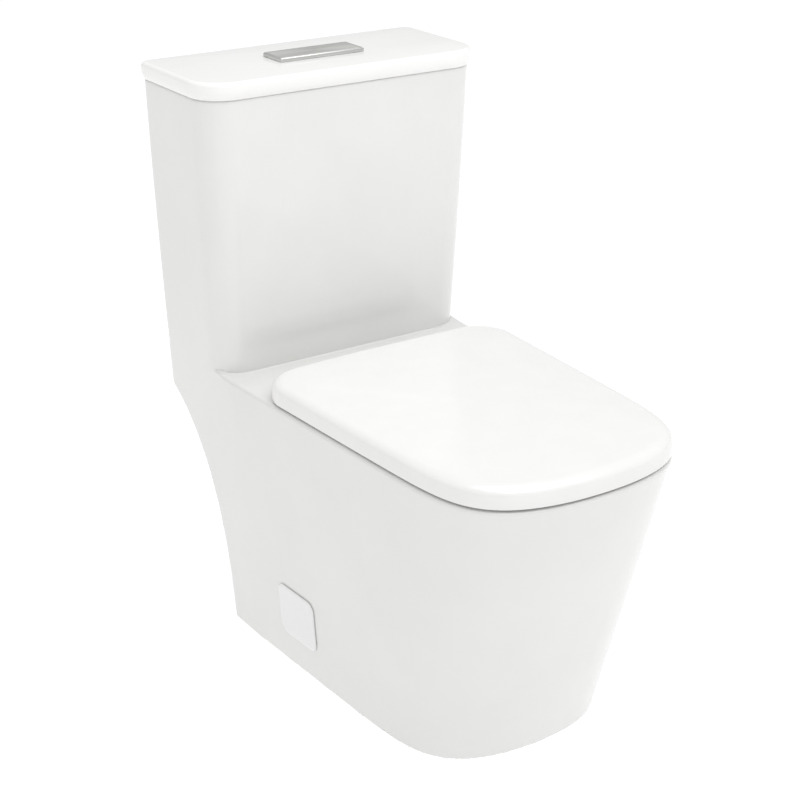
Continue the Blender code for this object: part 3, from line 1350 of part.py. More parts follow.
def seat_ring(material):
    """Flat ring with rounded edges and two arms back to the hinge."""
    centre = SEAT_CENTRE_Y
    outer = by_angle(seat_outline(RING_INSET, RING_BACK_Y, RING_CORNER_RADIUS), centre)
    hole = superellipse(HOLE_HALF_WIDTH, HOLE_HALF_LENGTH, centre, 2.4, 96)
    inner = by_angle(hole, centre)
    low = RING_UNDERSIDE
    top = RING_TOP

    def grown(distance):
        return inset(inner, -distance)

    rings = [
        at_height(inset(outer, 0.0015), low),
        at_height(outer, low + 0.0020),
        at_height(outer, top - 0.0040),
        at_height(inset(outer, 0.0030), top - 0.0008),
        at_height(inset(outer, 0.0100), top),
        at_height(grown(0.0120), top - 0.0002),
        at_height(grown(0.0035), top - 0.0020),
        at_height(inner, top - 0.0060),
        at_height(inner, low + 0.0020),
        at_height(grown(0.0020), low),
    ]
    ring = loft("seat_ring", rings, material, closed=True)
    for side in (-1, 1):
        near = side * (HINGE_X + HINGE_POST_WIDTH / 2 + KNUCKLE_GAP)
        far = near + side * HINGE_KNUCKLE
        edges = sorted((near, far))
        arm_low = (edges[0] + 0.0001, RING_BACK_Y - 0.0043, low + 0.0027)
        arm = box("arm", arm_low, (edges[1] - 0.0001, HINGE_Y, top - 0.0046), material)
        ends = [(x, HINGE_Y, HINGE_Z) for x in (near, far)]
        join(ring, arm, rod("knuckle", HINGE_RADIUS, *ends, material))
        bore = [(x, HINGE_Y, HINGE_Z) for x in (near - side * 0.01, far + side * 0.01)]
        cut(ring, rod("bore", HINGE_SHAFT_RADIUS + GAP, *bore))
    return ring


def hinge_post(name, side, material):
    """Foot bolted to the deck, and a post that holds the hinge shaft."""
    middle = side * HINGE_X
    low = RIM_HEIGHT + GAP
    half = HINGE_FOOT_WIDTH / 2
    outline = rounded_rectangle(
        half,
        (HINGE_FOOT_FRONT + HINGE_RADIUS) / 2,
        0.004,
        (middle, HINGE_Y + (HINGE_RADIUS - HINGE_FOOT_FRONT) / 2),
        3,
    )
    post = loft(name, [at_height(outline, z) for z in (low, low + HINGE_FOOT_THICKNESS)], material)
    half_post = HINGE_POST_WIDTH / 2
    pillar_low = (middle - half_post, HINGE_Y - HINGE_RADIUS + 0.0002, low + 0.001)
    pillar_high = (middle + half_post, HINGE_Y + HINGE_RADIUS - 0.0002, HINGE_Z)
    join(post, box("pillar", pillar_low, pillar_high, material))
    ends = [(middle + reach * 0.999, HINGE_Y, HINGE_Z) for reach in (-half_post, half_post)]
    join(post, rod("eye", HINGE_RADIUS, *ends, material))
    shaft = [(middle + reach, HINGE_Y, HINGE_Z) for reach in (-0.03, 0.03)]
    cut(post, rod("shaft_hole", HINGE_SHAFT_RADIUS + GAP, *shaft))
    return drill(post, SEAT_BOLT_RADIUS + GAP, middle, SEAT_BOLT_Y, low - 0.01, low + 0.02)


def hinge_damper(name, side, material):
    """Soft-close barrel inside the cover's knuckle, with a shaft through the post and the ring's knuckle."""
    half_post = HINGE_POST_WIDTH / 2
    barrel_end = side * (HINGE_X - half_post - KNUCKLE_GAP)
    shaft_end = side * (HINGE_X + half_post + KNUCKLE_GAP + HINGE_KNUCKLE)
    barrel_start = barrel_end - side * (DAMPER_LENGTH - 0.0006)
    length = abs(shaft_end - barrel_start)
    barrel = abs(barrel_end - barrel_start)
    outer = DAMPER_RADIUS
    shaft = HINGE_SHAFT_RADIUS
    profile = [(0, 0), (outer - 0.0005, 0), (outer, 0.0005), (outer, barrel)]
    profile += [(shaft, barrel), (shaft, length), (0, length)]
    return turned(name, profile, (barrel_start, HINGE_Y, HINGE_Z), material, (side, 0, 0))


def seat_bolt(name, side, material):
    top = RIM_HEIGHT + 2 * GAP + HINGE_FOOT_THICKNESS
    low = DECK_UNDERSIDE - 0.010
    shank = SEAT_BOLT_RADIUS
    head = SEAT_BOLT_HEAD_RADIUS
    profile = [(0, low), (shank, low), (shank, top), (head, top), (head, top + 0.0016)]
    profile += [(head - 0.0018, top + 0.0030), (0, top + 0.0030)]
    return turned(name, profile, (side * HINGE_X, SEAT_BOLT_Y, 0), material, sides=16)


def seat_anchor(name, side, material):
    """Rubber sleeve that bulges under the deck as its bolt is tightened."""
    inner = SEAT_BOLT_RADIUS + GAP
    top = RIM_HEIGHT - GAP
    low = DECK_UNDERSIDE - 0.008
    outer = SEAT_ANCHOR_RADIUS
    bulge = SEAT_ANCHOR_BULGE
    profile = [(inner, low), (bulge - 0.0005, low), (bulge, low + 0.004)]
    profile += [(outer, DECK_UNDERSIDE - 0.001), (outer, top), (inner, top)]
    return turned(name, profile, (side * HINGE_X, SEAT_BOLT_Y, 0), material, sides=ROUND)


def bumper_places(border, front_border):
    """Four places round the seat: two near the front, two near the back."""
    front_y = FRONT_Y + front_border
    back_y = RING_BACK_Y - BUMPER_BACK_OFFSET
    places = {}
    for label, y in (("front", front_y), ("back", back_y)):
        for word, side in (("left", -1), ("right", 1)):
            places[f"{label}_{word}"] = (side * (half_width(y, RIM_HEIGHT) - border), y)
    return places


def bumper(name, place, low, height, material):
    """Soft foot that the seat rests on."""
    outer = BUMPER_RADIUS
    high = low + height
    profile = [(0, low), (outer - 0.0008, low), (outer, low + 0.0008), (outer, high), (0, high)]
    return turned(name, profile, (*place, 0), material, sides=16)


# ---------------------------------------------------------------------------------------------
# Floor fixing and side covers
# ---------------------------------------------------------------------------------------------


def side_cap(name, side, material):
    """Cover over an access hole: a plug in the hole and a face that follows the ceramic."""

    def layer(margin, reach):
        ring = []
        for y, z in access_outline(margin):
            ring.append((side * (half_width(y, z) + reach), y, z))
        return ring

    plug = CAP_LEDGE
    rings = [
        layer(plug + 0.0006, -0.0085),
        layer(plug, -0.0070),
        layer(plug, 2 * GAP),
        layer(0.0, 2 * GAP),
        layer(0.0, CAP_THICKNESS - 0.0008),
        layer(0.0010, CAP_THICKNESS),
    ]
    return loft(name, rings, material)


def closet_bolt(name, side, material):
    low = 0.0005
    top = CLOSET_BOLT_TOP
    outer = CLOSET_BOLT_RADIUS
    profile = [(0, low), (outer, low), (outer, top - 0.001), (outer - 0.001, top), (0, top)]
    x = side * CLOSET_BOLT_SPACING / 2
    return turned(name, profile, (x, OUTLET_Y, 0), material, sides=16)


def closet_washer(name, side, material):
    low = WEB_THICKNESS + GAP
    high = low + CLOSET_WASHER_THICKNESS
    inner = CLOSET_BOLT_RADIUS + GAP
    x = side * CLOSET_BOLT_SPACING / 2
    return washer(name, inner, CLOSET_WASHER_RADIUS, low, high, x, OUTLET_Y, material)


def closet_nut(name, side, material):
    low = WEB_THICKNESS + 2 * GAP + CLOSET_WASHER_THICKNESS
    high = low + CLOSET_NUT_HEIGHT
    x = side * CLOSET_BOLT_SPACING / 2
    return nut(name, CLOSET_BOLT_RADIUS, CLOSET_NUT_RADIUS, low, high, x, OUTLET_Y, material)


def outlet_seal(material):
    inner = TRAP_RADIUS + TRAP_WALL + 0.0010
    outer = SEAL_OUTER_RADIUS - GAP
    high = SEAL_DEPTH - GAP
    return washer("outlet_seal", inner, outer, GAP, high, 0, OUTLET_Y, material, FINE_ROUND)


# ---------------------------------------------------------------------------------------------
# Assembly
# ---------------------------------------------------------------------------------------------


def main():
    clear_scene()
    glazed = make_material("glazed_ceramic", (0.80, 0.80, 0.79), 0.08)
    seat_plastic = make_material("seat_plastic", (0.84, 0.84, 0.84), 0.18)
    white_plastic = make_material("white_plastic", (0.78, 0.78, 0.77), 0.40)
    grey_plastic = make_material("grey_plastic", (0.28, 0.30, 0.32), 0.45)
    blue_plastic = make_material("blue_plastic", (0.05, 0.18, 0.45), 0.40)
    rubber = make_material("black_rubber", (0.03, 0.03, 0.03), 0.75)
    clear_rubber = make_material("clear_bumper", (0.62, 0.62, 0.60), 0.45)
    brushed = make_material("brushed_metal", (0.52, 0.52, 0.51), 0.32, 1.0)
    chrome = make_material("polished_chrome", (0.70, 0.70, 0.70), 0.10, 1.0)
    steel = make_material("stainless_steel", (0.55, 0.55, 0.54), 0.30, 1.0)
    brass = make_material("brass", (0.62, 0.47, 0.20), 0.28, 1.0)

    ceramic_body(glazed)
    outlet_seal(rubber)
    sides = (("left", -1), ("right", 1))
    for word, side in sides:
        side_cap(f"side_cap_{word}", side, seat_plastic)
        closet_bolt(f"closet_bolt_{word}", side, brass)
        closet_washer(f"closet_washer_{word}", side, brass)
        closet_nut(f"closet_nut_{word}", side, brass)
        flush_valve_bolt(f"flush_valve_bolt_{word}", side, steel)
        flush_valve_nut(f"flush_valve_nut_{word}", side, steel)
        hinge_post(f"hinge_post_{word}", side, chrome)
        hinge_damper(f"hinge_damper_{word}", side, grey_plastic)
        seat_bolt(f"seat_bolt_{word}", side, steel)
        seat_anchor(f"seat_anchor_{word}", side, rubber)

    # tank
    flush_valve_seat(grey_plastic)
    flush_valve_gasket(rubber)
    flush_valve_tower(white_plastic)
    rocker_pin(steel)
    fill_valve_riser(white_plastic)
    fill_valve_gasket(rubber)
    fill_valve_locknut(white_plastic)
    fill_valve_head(blue_plastic)
    float_arm_pin(steel)
    refill_tube(clear_rubber)

    hang_on("rocker_axis", (ROCKER_X, VALVE_Y, ROCKER_Z), flush_rocker(blue_plastic))
    canister_pieces = [flush_canister(grey_plastic), flush_seal(rubber)]
    hang_on("canister_slide", (0, VALVE_Y, VALVE_FLANGE_Z), *canister_pieces)
    float_pieces = [fill_float(grey_plastic), float_link(white_plastic)]
    hang_on("float_slide", (FILL_X, VALVE_Y, FLOAT_TOP), *float_pieces)
    hang_on("float_arm_axis", (FILL_X, ARM_PIVOT_Y, ARM_PIVOT_Z), float_arm(white_plastic))

    # lid and button
    lid_pieces = [
        tank_lid(glazed),
        button_bezel(chrome),
        clamp_bridge(white_plastic),
        clamp_nut(white_plastic),
        button_spring(steel),
    ]
    hang_on("tank_lid_lift", (0, LID_CENTRE_Y, SEAM_HEIGHT), *lid_pieces)
    button_pieces = [flush_button(brushed), flush_rod(white_plastic)]
    hang_on("button_slide", (0, LID_CENTRE_Y, BEZEL_TOP), *button_pieces)

    # seat
    ring_pieces = [seat_ring(seat_plastic)]
    for label, place in bumper_places(RING_BUMPER_BORDER, RING_BUMPER_FRONT).items():
        name = f"ring_bumper_{label}"
        ring_pieces.append(bumper(name, place, RIM_HEIGHT + GAP, RING_BUMPER_HEIGHT, clear_rubber))
    cover_pieces = [seat_cover(seat_plastic)]
    cover_bumper_low = COVER_CEILING_Z - GAP - COVER_BUMPER_HEIGHT
    for label, place in bumper_places(COVER_BUMPER_BORDER, COVER_BUMPER_FRONT).items():
        name = f"cover_bumper_{label}"
        made = bumper(name, place, cover_bumper_low, COVER_BUMPER_HEIGHT, clear_rubber)
        cover_pieces.append(made)
    hang_on("seat_ring_axis", (0, HINGE_Y, HINGE_Z), *ring_pieces)
    hang_on("seat_cover_axis", (0, HINGE_Y, HINGE_Z), *cover_pieces)


main()
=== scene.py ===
"""Looks of the one-piece skirted toilet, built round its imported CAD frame.

Units are metres and +Z is up. The toilet faces -Y and its tank is at +Y.
"""

import json
import math

import bmesh
import bpy
import numpy as np
from mathutils import Euler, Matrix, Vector


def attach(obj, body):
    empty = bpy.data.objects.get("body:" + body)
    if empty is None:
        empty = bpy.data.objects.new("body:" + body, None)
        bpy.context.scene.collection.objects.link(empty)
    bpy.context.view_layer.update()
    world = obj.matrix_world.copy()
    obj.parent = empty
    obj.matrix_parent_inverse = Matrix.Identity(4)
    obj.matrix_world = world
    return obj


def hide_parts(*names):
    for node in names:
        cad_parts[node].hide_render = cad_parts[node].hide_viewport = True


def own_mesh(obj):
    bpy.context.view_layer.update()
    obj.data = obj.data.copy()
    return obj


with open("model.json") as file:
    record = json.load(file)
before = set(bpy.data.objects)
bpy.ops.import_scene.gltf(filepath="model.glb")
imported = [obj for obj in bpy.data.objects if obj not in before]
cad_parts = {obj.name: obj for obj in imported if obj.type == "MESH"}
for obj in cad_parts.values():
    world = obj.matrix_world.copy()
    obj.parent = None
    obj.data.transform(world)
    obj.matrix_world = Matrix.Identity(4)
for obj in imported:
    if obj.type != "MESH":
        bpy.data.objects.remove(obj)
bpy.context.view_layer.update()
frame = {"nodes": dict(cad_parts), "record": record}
NODES = frame["nodes"]

# ---------------------------------------------------------------------------------------------
# The shape's dimensions, as in the CAD part
# ---------------------------------------------------------------------------------------------

GAP = 0.0003  # air between two pieces that touch

# ceramic body
FRONT_Y, BACK_Y = -0.343, 0.343
RIM, SEAM, LID_TOP = 0.375, 0.7275, 0.750
BASE_HALF, FOOT_HALF, TOP_HALF = 0.1595, 0.1845, 0.1985
BASE_TAPER, RIM_TAPER = 0.0465, 0.0515
TAPER_START = 0.170
BASE_SETBACK = 0.098
BASE_CORNER_START, RIM_CORNER_START = 0.250, 0.148
FRONT_POWER, CORNER_POWER = 13.5, 2.15
TANK_FRONT_TOP, TANK_FRONT_FOOT = 0.1716, 0.181
TANK_FRONT_RADIUS, TANK_BACK_RADIUS = 0.040, 0.009
TANK_WALL = 0.011
TANK_BACK = 0.341
BACK_CURVE_TOP, BACK_CURVE_FOOT = 0.315, 0.040
BACK_CURVE_KNEE = (0.225, 0.245)
BASE_BACK = 0.224
BOWL_FRONT, BOWL_BACK, BOWL_FLOOR = FRONT_Y + 0.043, 0.035, 0.088
BOWL_INSET, BOWL_POWER = 0.036, 2.35
OUTLET_Y = 0.052

# tank lid and button
LID_HALF = 0.203
LID_FRONT = TANK_FRONT_TOP - 0.005
LID_CENTRE = (LID_FRONT + BACK_Y) / 2
LID_WEB_UNDERSIDE = LID_TOP - 0.013
LID_RIB_DROP, LID_RIB_WALL = 0.007, 0.005
BUTTON_LENGTH, BUTTON_WIDTH = 0.1156, 0.0386
BUTTON_CLEARANCE, BEZEL_WALL = 0.0004, 0.0010

# seat hinge
HINGE_X, HINGE_Y, HINGE_Z = 0.0725, 0.104, 0.387
POST_HALF, HINGE_PIN_RADIUS, DAMPER_RADIUS = 0.008, 0.003, 0.0045
KNUCKLE_RADIUS, KNUCKLE_GAP = 0.007, GAP + 0.0007
RING_KNUCKLE, COVER_KNUCKLE = 0.015, 0.037
NOTCH_INSIDE = 0.012  # how far the cover's notch reaches past the hinge's middle

# seat
COVER_BACK_Y, COVER_BOW, COVER_CORNER = 0.1145, 0.006, 0.050
COVER_EDGE_Z, COVER_TOP_Z, COVER_CEILING = 0.378, 0.4045, 0.397
SEAT_CENTRE = -0.126
RING_BACK_Y, RING_CORNER = 0.073, 0.045
RING_LOW, RING_TOP = 0.3788, 0.3908
RING_HOLE_HALF_X, RING_HOLE_HALF_Y, RING_HOLE_POWER = 0.108, 0.146, 2.4

# side covers
CAP_LENGTH, CAP_HEIGHT, CAP_CENTRE_Z, CAP_RADIUS = 0.080, 0.073, 0.082, 0.013
CAP_BORDER = 0.0085  # from the cover's edge to its plug

# soft edges of the glazed ceramic, which the CAD leaves sharp
RIM_ROUND, RIM_ROUND_END, RIM_ROUND_GONE = 0.0055, 0.170, 0.216
TANK_FOOT_COVE, COVE_START, COVE_FULL = 0.0035, 0.0005, 0.012
FOOT_ROUND = 0.0012
TANK_TOP_ROUND = 0.0025
BACK_ROUND = 0.004
BOWL_ROLL = 0.006

# how the fine skin and the CAD's hollows meet
SKIN_BAND = 0.0007  # CAD points nearer to the outside than this are pushed out
PUSH_OUT = 0.004
ON_SKIN = 0.00012  # corners nearer than this take the outside's own normal
SKIN_ANGLE = 40
BEYOND = 0.60  # well outside the object


def smoothstep(value, low, high):
    share = np.clip((value - low) / (high - low), 0.0, 1.0)
    return share * share * (3 - 2 * share)


def side_half_width(z):
    low_slope = (FOOT_HALF - BASE_HALF) / RIM
    high_slope = (TOP_HALF - FOOT_HALF) / (SEAM - RIM)
    bend = (high_slope - low_slope) / SEAM
    return BASE_HALF + low_slope * z + bend * z * (z - RIM)


def outline_terms(z):
    """Taper, corner start and front of the skirt's plan at a height."""
    share = np.clip(z / RIM, -0.2, 1.0)
    taper = BASE_TAPER + (RIM_TAPER - BASE_TAPER) * share
    start = BASE_CORNER_START + (RIM_CORNER_START - BASE_CORNER_START) * share
    front = FRONT_Y + BASE_SETBACK * (1 - share)
    return taper, start, front


def half_width(y, z):
    taper, start, front = outline_terms(z)
    width = side_half_width(z) - taper * np.maximum(0.0, TAPER_START - y)
    share = np.clip((start - y) / (start - front), 0.0, 1.0)
    return width * (1 - share**FRONT_POWER) ** (1 / CORNER_POWER)


def tank_front(z):
    return TANK_FRONT_FOOT + (TANK_FRONT_TOP - TANK_FRONT_FOOT) / (SEAM - RIM) * (z - RIM)


# ---------------------------------------------------------------------------------------------
# The ceramic's outside as a signed distance
# ---------------------------------------------------------------------------------------------


def side_level(p):
    """Grows outwards through zero on the skirt's side and front."""
    x, y, z = p.T
    taper, start, front = outline_terms(z)
    width = side_half_width(z) - taper * np.maximum(0.0, TAPER_START - y)
    share = np.clip((start - y) / (start - front), 0.0, 1.3)
    level = (np.abs(x) / width) ** CORNER_POWER + share**FRONT_POWER
    return width * (level ** (1 / CORNER_POWER) - 1)


def gradient(function, p, step=0.00005):
    columns = []
    for axis in np.eye(3):
        columns.append((function(p + axis * step) - function(p - axis * step)) / (2 * step))
    return np.stack(columns, axis=1)


def side_distance(p):
    return side_level(p) / np.linalg.norm(gradient(side_level, p), axis=1)


def round_both(a, b, radius):
    """Inside both, with their edge rounded."""
    past_a = np.maximum(a + radius, 0)
    past_b = np.maximum(b + radius, 0)
    rounded = np.hypot(past_a, past_b) - radius
    return np.where((past_a > 0) & (past_b > 0), rounded, np.maximum(a, b))


def either_with_cove(a, b, radius):
    """Inside either, with a cove where they meet."""
    cove = radius - np.hypot(np.maximum(radius - a, 0), np.maximum(radius - b, 0))
    return np.where((a < radius) & (b < radius), cove, np.minimum(a, b))


def back_curve_points(count=60):
    start = np.array((TANK_BACK, BACK_CURVE_TOP))
    knee = np.array(BACK_CURVE_KNEE)
    end = np.array((BASE_BACK, BACK_CURVE_FOOT))
    t = np.linspace(0, 1, count)[:, None]
    curve = start * (1 - t) ** 2 + knee * 2 * t * (1 - t) + end * t**2
    return np.vstack([[BEYOND, BACK_CURVE_TOP], curve, [BASE_BACK, -0.10]])


BACK_CURVE = back_curve_points()


def back_curve_distance(y, z):
    """Signed distance to the back curve in the side view: positive behind it."""
    best = np.full(len(y), 1e9)
    sign = np.ones(len(y))
    for (ay, az), (by, bz) in zip(BACK_CURVE[:-1], BACK_CURVE[1:]):
        dy, dz = by - ay, bz - az
        t = np.clip(((y - ay) * dy + (z - az) * dz) / (dy * dy + dz * dz), 0, 1)
        off_y, off_z = y - ay - t * dy, z - az - t * dz
        distance = np.hypot(off_y, off_z)
        nearer = distance < best
        best = np.where(nearer, distance, best)
        sign = np.where(nearer, np.sign(dy * off_z - dz * off_y), sign)
    return best * sign


def ceramic_distance(p):
    """Signed distance to the outside of the ceramic body, without its hollows."""
    x, y, z = p.T
    side = side_distance(p)
    edge = RIM_ROUND * (1 - smoothstep(y, RIM_ROUND_END, RIM_ROUND_GONE))
    skirt = round_both(side, z - RIM, np.maximum(edge, 1e-5))
    tank = round_both(side, tank_front(z) - y, TANK_FRONT_RADIUS)
    cove = TANK_FOOT_COVE * smoothstep(-side, COVE_START, COVE_FULL)
    whole = either_with_cove(skirt, tank, np.maximum(cove, 1e-6))
    whole = round_both(whole, y - TANK_BACK, TANK_BACK_RADIUS)
    whole = round_both(whole, z - SEAM, TANK_TOP_ROUND)
    whole = round_both(whole, back_curve_distance(y, z), BACK_ROUND)
    return round_both(whole, -z, FOOT_ROUND)


def outward(points):
    """Unit vectors that point away from the ceramic."""
    slope = gradient(ceramic_distance, points)
    return slope / np.maximum(np.linalg.norm(slope, axis=1), 1e-6)[:, None]


def settle(points, rounds=6, most=0.012):
    """Points moved onto the ceramic's outside."""
    start = points.copy()
    for _ in range(rounds):
        value = ceramic_distance(points)
        slope = gradient(ceramic_distance, points)
        size = np.maximum((slope**2).sum(axis=1), 0.2)
        points = points - slope * (value / size)[:, None]
        moved = points - start
        reach = np.linalg.norm(moved, axis=1)
        points = start + moved * np.minimum(1, most / np.maximum(reach, 1e-9))[:, None]
    return points


# ---------------------------------------------------------------------------------------------
# Mesh helpers
# ---------------------------------------------------------------------------------------------


def object_from(name, points, faces):
    """A mesh object in the scene, its faces turned outwards."""
    shape = bmesh.new()
    vertices = [shape.verts.new(point) for point in points]
    for face in faces:
        shape.faces.new([vertices[index] for index in face])
    bmesh.ops.recalc_face_normals(shape, faces=shape.faces)
    mesh = bpy.data.meshes.new(name)
    shape.to_mesh(mesh)
    shape.free()
    made = bpy.data.objects.new(name, mesh)
    bpy.context.scene.collection.objects.link(made)
    return made


def loft(name, rings, closed=False):
    """A solid through rings of equal count, capped at both ends or closed to the first ring."""
    count = len(rings[0])
    points = [tuple(point) for ring in rings for point in ring]
    faces = []
    for level in range(len(rings) if closed else len(rings) - 1):
        low = level * count
        high = (level + 1) % len(rings) * count
        for k in range(count):
            following = (k + 1) % count
            faces.append((low + k, low + following, high + following, high + k))
    if not closed:
        faces.append(tuple(reversed(range(count))))
        faces.append(tuple((len(rings) - 1) * count + k for k in range(count)))
    return object_from(name, points, faces)


def rod(name, radius, start, end, sides=48):
    axis = Vector(end) - Vector(start)
    turn = Vector((0, 0, 1)).rotation_difference(axis).to_matrix()
    angles = [math.tau * k / sides for k in range(sides)]
    circle = [turn @ Vector((radius * math.cos(a), radius * math.sin(a), 0)) for a in angles]
    return loft(name, [[Vector(place) + spoke for spoke in circle] for place in (start, end)])


def box(name, low, high):
    ring = [(low[0], low[1]), (high[0], low[1]), (high[0], high[1]), (low[0], high[1])]
    return loft(name, [[(x, y, z) for x, y in ring] for z in (low[2], high[2])])


def rounded_rectangle(half_x, half_y, radius, centre=(0, 0), steps=10):
    points = []
    for quarter, (sx, sy) in enumerate(((1, 1), (-1, 1), (-1, -1), (1, -1))):
        for k in range(steps + 1):
            angle = math.pi / 2 * (quarter + k / steps)
            x = centre[0] + sx * (half_x - radius) + radius * math.cos(angle)
            y = centre[1] + sy * (half_y - radius) + radius * math.sin(angle)
            points.append((x, y))
    return points


def at_height(outline, z):
    return [(x, y, z) for x, y in outline]


def inset(outline, distance):
    """A closed anticlockwise outline moved inwards."""
    line = np.array(outline)
    along = np.roll(line, -1, axis=0) - np.roll(line, 1, axis=0)
    along /= np.linalg.norm(along, axis=1)[:, None]
    return line + np.stack([-along[:, 1], along[:, 0]], axis=1) * distance


def superellipse(half_x, half_y, centre_y, power, count):
    angles = np.arange(count) * math.tau / count
    c, s = np.cos(angles), np.sin(angles)
    x = half_x * np.sign(c) * np.abs(c) ** (2 / power)
    y = centre_y + half_y * np.sign(s) * np.abs(s) ** (2 / power)
    return np.stack([x, y], axis=1)


def resample(outline, count, centre_y):
    """A closed outline read again at even angles about a point on the middle line."""
    line = np.array(outline) - (0, centre_y)
    angle = np.unwrap(np.arctan2(line[:, 1], line[:, 0]))
    radius = np.linalg.norm(line, axis=1)
    order = np.argsort(angle)
    angle, radius = angle[order], radius[order]
    wanted = np.arange(count) * math.tau / count
    low = angle[0] - 1e-9
    wanted = low + (wanted - low) % math.tau
    reach = np.interp(wanted, np.append(angle, angle[0] + math.tau), np.append(radius, radius[0]))
    return np.stack([np.cos(wanted) * reach, np.sin(wanted) * reach + centre_y], axis=1)


def quarter_turn(steps, first=1):
    """Angles from the one after 0, or from 0 itself, to a right angle."""
    return [math.pi / 2 * k / steps for k in range(first, steps + 1)]


def applied(piece):
    """The piece with its modifiers turned into mesh."""
    bpy.context.view_layer.update()
    graph = bpy.context.evaluated_depsgraph_get()
    mesh = bpy.data.meshes.new_from_object(piece.evaluated_get(graph))
    piece.modifiers.clear()
    piece.data = mesh
    return piece


def combine(target, tool, operation):
    modifier = target.modifiers.new("combine", "BOOLEAN")
    modifier.operation = operation
    modifier.solver = "MANIFOLD"
    modifier.object = tool
    applied(target)
    if not len(target.data.polygons):
        raise RuntimeError(f"{target.name} {operation} {tool.name} left nothing")
    bpy.data.objects.remove(tool, do_unlink=True)
    return target


def cut(target, *tools):
    for tool in tools:
        combine(target, tool, "DIFFERENCE")
    return target


def join(target, *tools):
    for tool in tools:
        combine(target, tool, "UNION")
    return target


def points_of(mesh):
    flat = np.empty(len(mesh.vertices) * 3)
    mesh.vertices.foreach_get("co", flat)
    return flat.reshape(-1, 3)


def set_points(mesh, points):
    mesh.vertices.foreach_set("co", points.reshape(-1))
    mesh.update()


def soften(piece, angle=32):
    piece.data.shade_smooth()
    piece.data.set_sharp_from_angle(angle=math.radians(angle))
    return piece


def copy_of(node, name):
    """A new object with the CAD piece's mesh, its doubled points merged."""
    made = bpy.data.objects.new(name, NODES[node].data.copy())
    bpy.context.scene.collection.objects.link(made)
    shape = bmesh.new()
    shape.from_mesh(made.data)
    bmesh.ops.remove_doubles(shape, verts=shape.verts, dist=0.000002)
    shape.to_mesh(made.data)
    shape.free()
    return made


def finish_piece(piece, node, body, material):
    """The piece rides on its body and stands for its CAD node, in one material."""
    piece.data.materials.clear()
    piece.data.materials.append(material)
    for face in piece.data.polygons:
        face.material_index = 0
    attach(piece, body)
    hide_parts(node)
    return piece


# ---------------------------------------------------------------------------------------------
# Materials
# ---------------------------------------------------------------------------------------------


class Nodes:
    """Small helper to wire a procedural material."""

    def __init__(self, name):
        self.material = bpy.data.materials.new(name)
        self.material.use_nodes = True
        self.tree = self.material.node_tree
        self.shader = self.tree.nodes["Principled BSDF"]
        self.place = self.tree.nodes.new("ShaderNodeTexCoord").outputs["Object"]

    def link(self, source, target):
        self.tree.links.new(source, target)

    def set(self, **values):
        for key, value in values.items():
            self.shader.inputs[key.replace("_", " ")].default_value = value
        return self

    def scaled(self, scale):
        mapping = self.tree.nodes.new("ShaderNodeMapping")
        mapping.inputs["Scale"].default_value = scale
        self.link(self.place, mapping.inputs["Vector"])
        return mapping.outputs["Vector"]

    def noise(self, scale, detail=2.0, roughness=0.5, stretch=(1, 1, 1)):
        node = self.tree.nodes.new("ShaderNodeTexNoise")
        node.inputs["Scale"].default_value = scale
        node.inputs["Detail"].default_value = detail
        node.inputs["Roughness"].default_value = roughness
        self.link(self.scaled(stretch), node.inputs["Vector"])
        return node.outputs["Fac"]

    def cells(self, scale):
        node = self.tree.nodes.new("ShaderNodeTexVoronoi")
        node.inputs["Scale"].default_value = scale
        self.link(self.place, node.inputs["Vector"])
        return node.outputs["Distance"]

    def ramp(self, factor, low, high, from_low=0.3, from_high=0.7):
        node = self.tree.nodes.new("ShaderNodeMapRange")
        node.inputs["From Min"].default_value = from_low
        node.inputs["From Max"].default_value = from_high
        node.inputs["To Min"].default_value = low
        node.inputs["To Max"].default_value = high
        self.link(factor, node.inputs["Value"])
        return node.outputs["Result"]

    def colour(self, factor, low, high):
        node = self.tree.nodes.new("ShaderNodeValToRGB")
        node.color_ramp.elements[0].position = 0.30
        node.color_ramp.elements[1].position = 0.70
        node.color_ramp.elements[0].color = (*low, 1)
        node.color_ramp.elements[1].color = (*high, 1)
        self.link(factor, node.inputs["Fac"])
        self.link(node.outputs["Color"], self.shader.inputs["Base Color"])
        return self

    def roughness(self, factor, low, high):
        self.link(self.ramp(factor, low, high), self.shader.inputs["Roughness"])
        return self

    def bump(self, *layers):
        """Layers of (height output, depth in metres)."""
        normal = None
        for height, depth in layers:
            node = self.tree.nodes.new("ShaderNodeBump")
            node.inputs["Strength"].default_value = 1.0
            node.inputs["Distance"].default_value = depth
            self.link(height, node.inputs["Height"])
            if normal:
                self.link(normal, node.inputs["Normal"])
            normal = node.outputs["Normal"]
        self.link(normal, self.shader.inputs["Normal"])
        return self


def glaze():
    """Vitreous china: a thick glassy glaze with a faint waviness and pin-sized specks."""
    m = Nodes("glazed_ceramic")
    m.set(IOR=1.52, Coat_Weight=0.35, Coat_Roughness=0.03, Coat_IOR=1.5)
    m.colour(m.noise(7, 4, 0.55), (0.768, 0.768, 0.755), (0.798, 0.798, 0.786))
    m.roughness(m.noise(26, 3), 0.10, 0.17)
    m.bump((m.noise(34, 2, 0.4), 0.00012), (m.noise(420, 2), 0.0000045))
    return m.material


def lid_glaze_painted_lighter():
    """The same glaze on the flatter lid, its colour painted lighter than the body's to stand for the
    light on the lid's top.
    """
    m = Nodes("glazed_ceramic_lid_painted_lighter")
    m.set(IOR=1.52, Coat_Weight=0.35, Coat_Roughness=0.03, Coat_IOR=1.5)
    # painted light: the body's glaze made whiter here, standing in for the brighter light that falls
    # on the lid's top
    m.colour(m.noise(9, 4, 0.55), (0.895, 0.895, 0.884), (0.915, 0.915, 0.906))
    m.roughness(m.noise(30, 3), 0.09, 0.16)
    m.bump((m.noise(30, 2, 0.4), 0.00010), (m.noise(420, 2), 0.0000045))
    return m.material


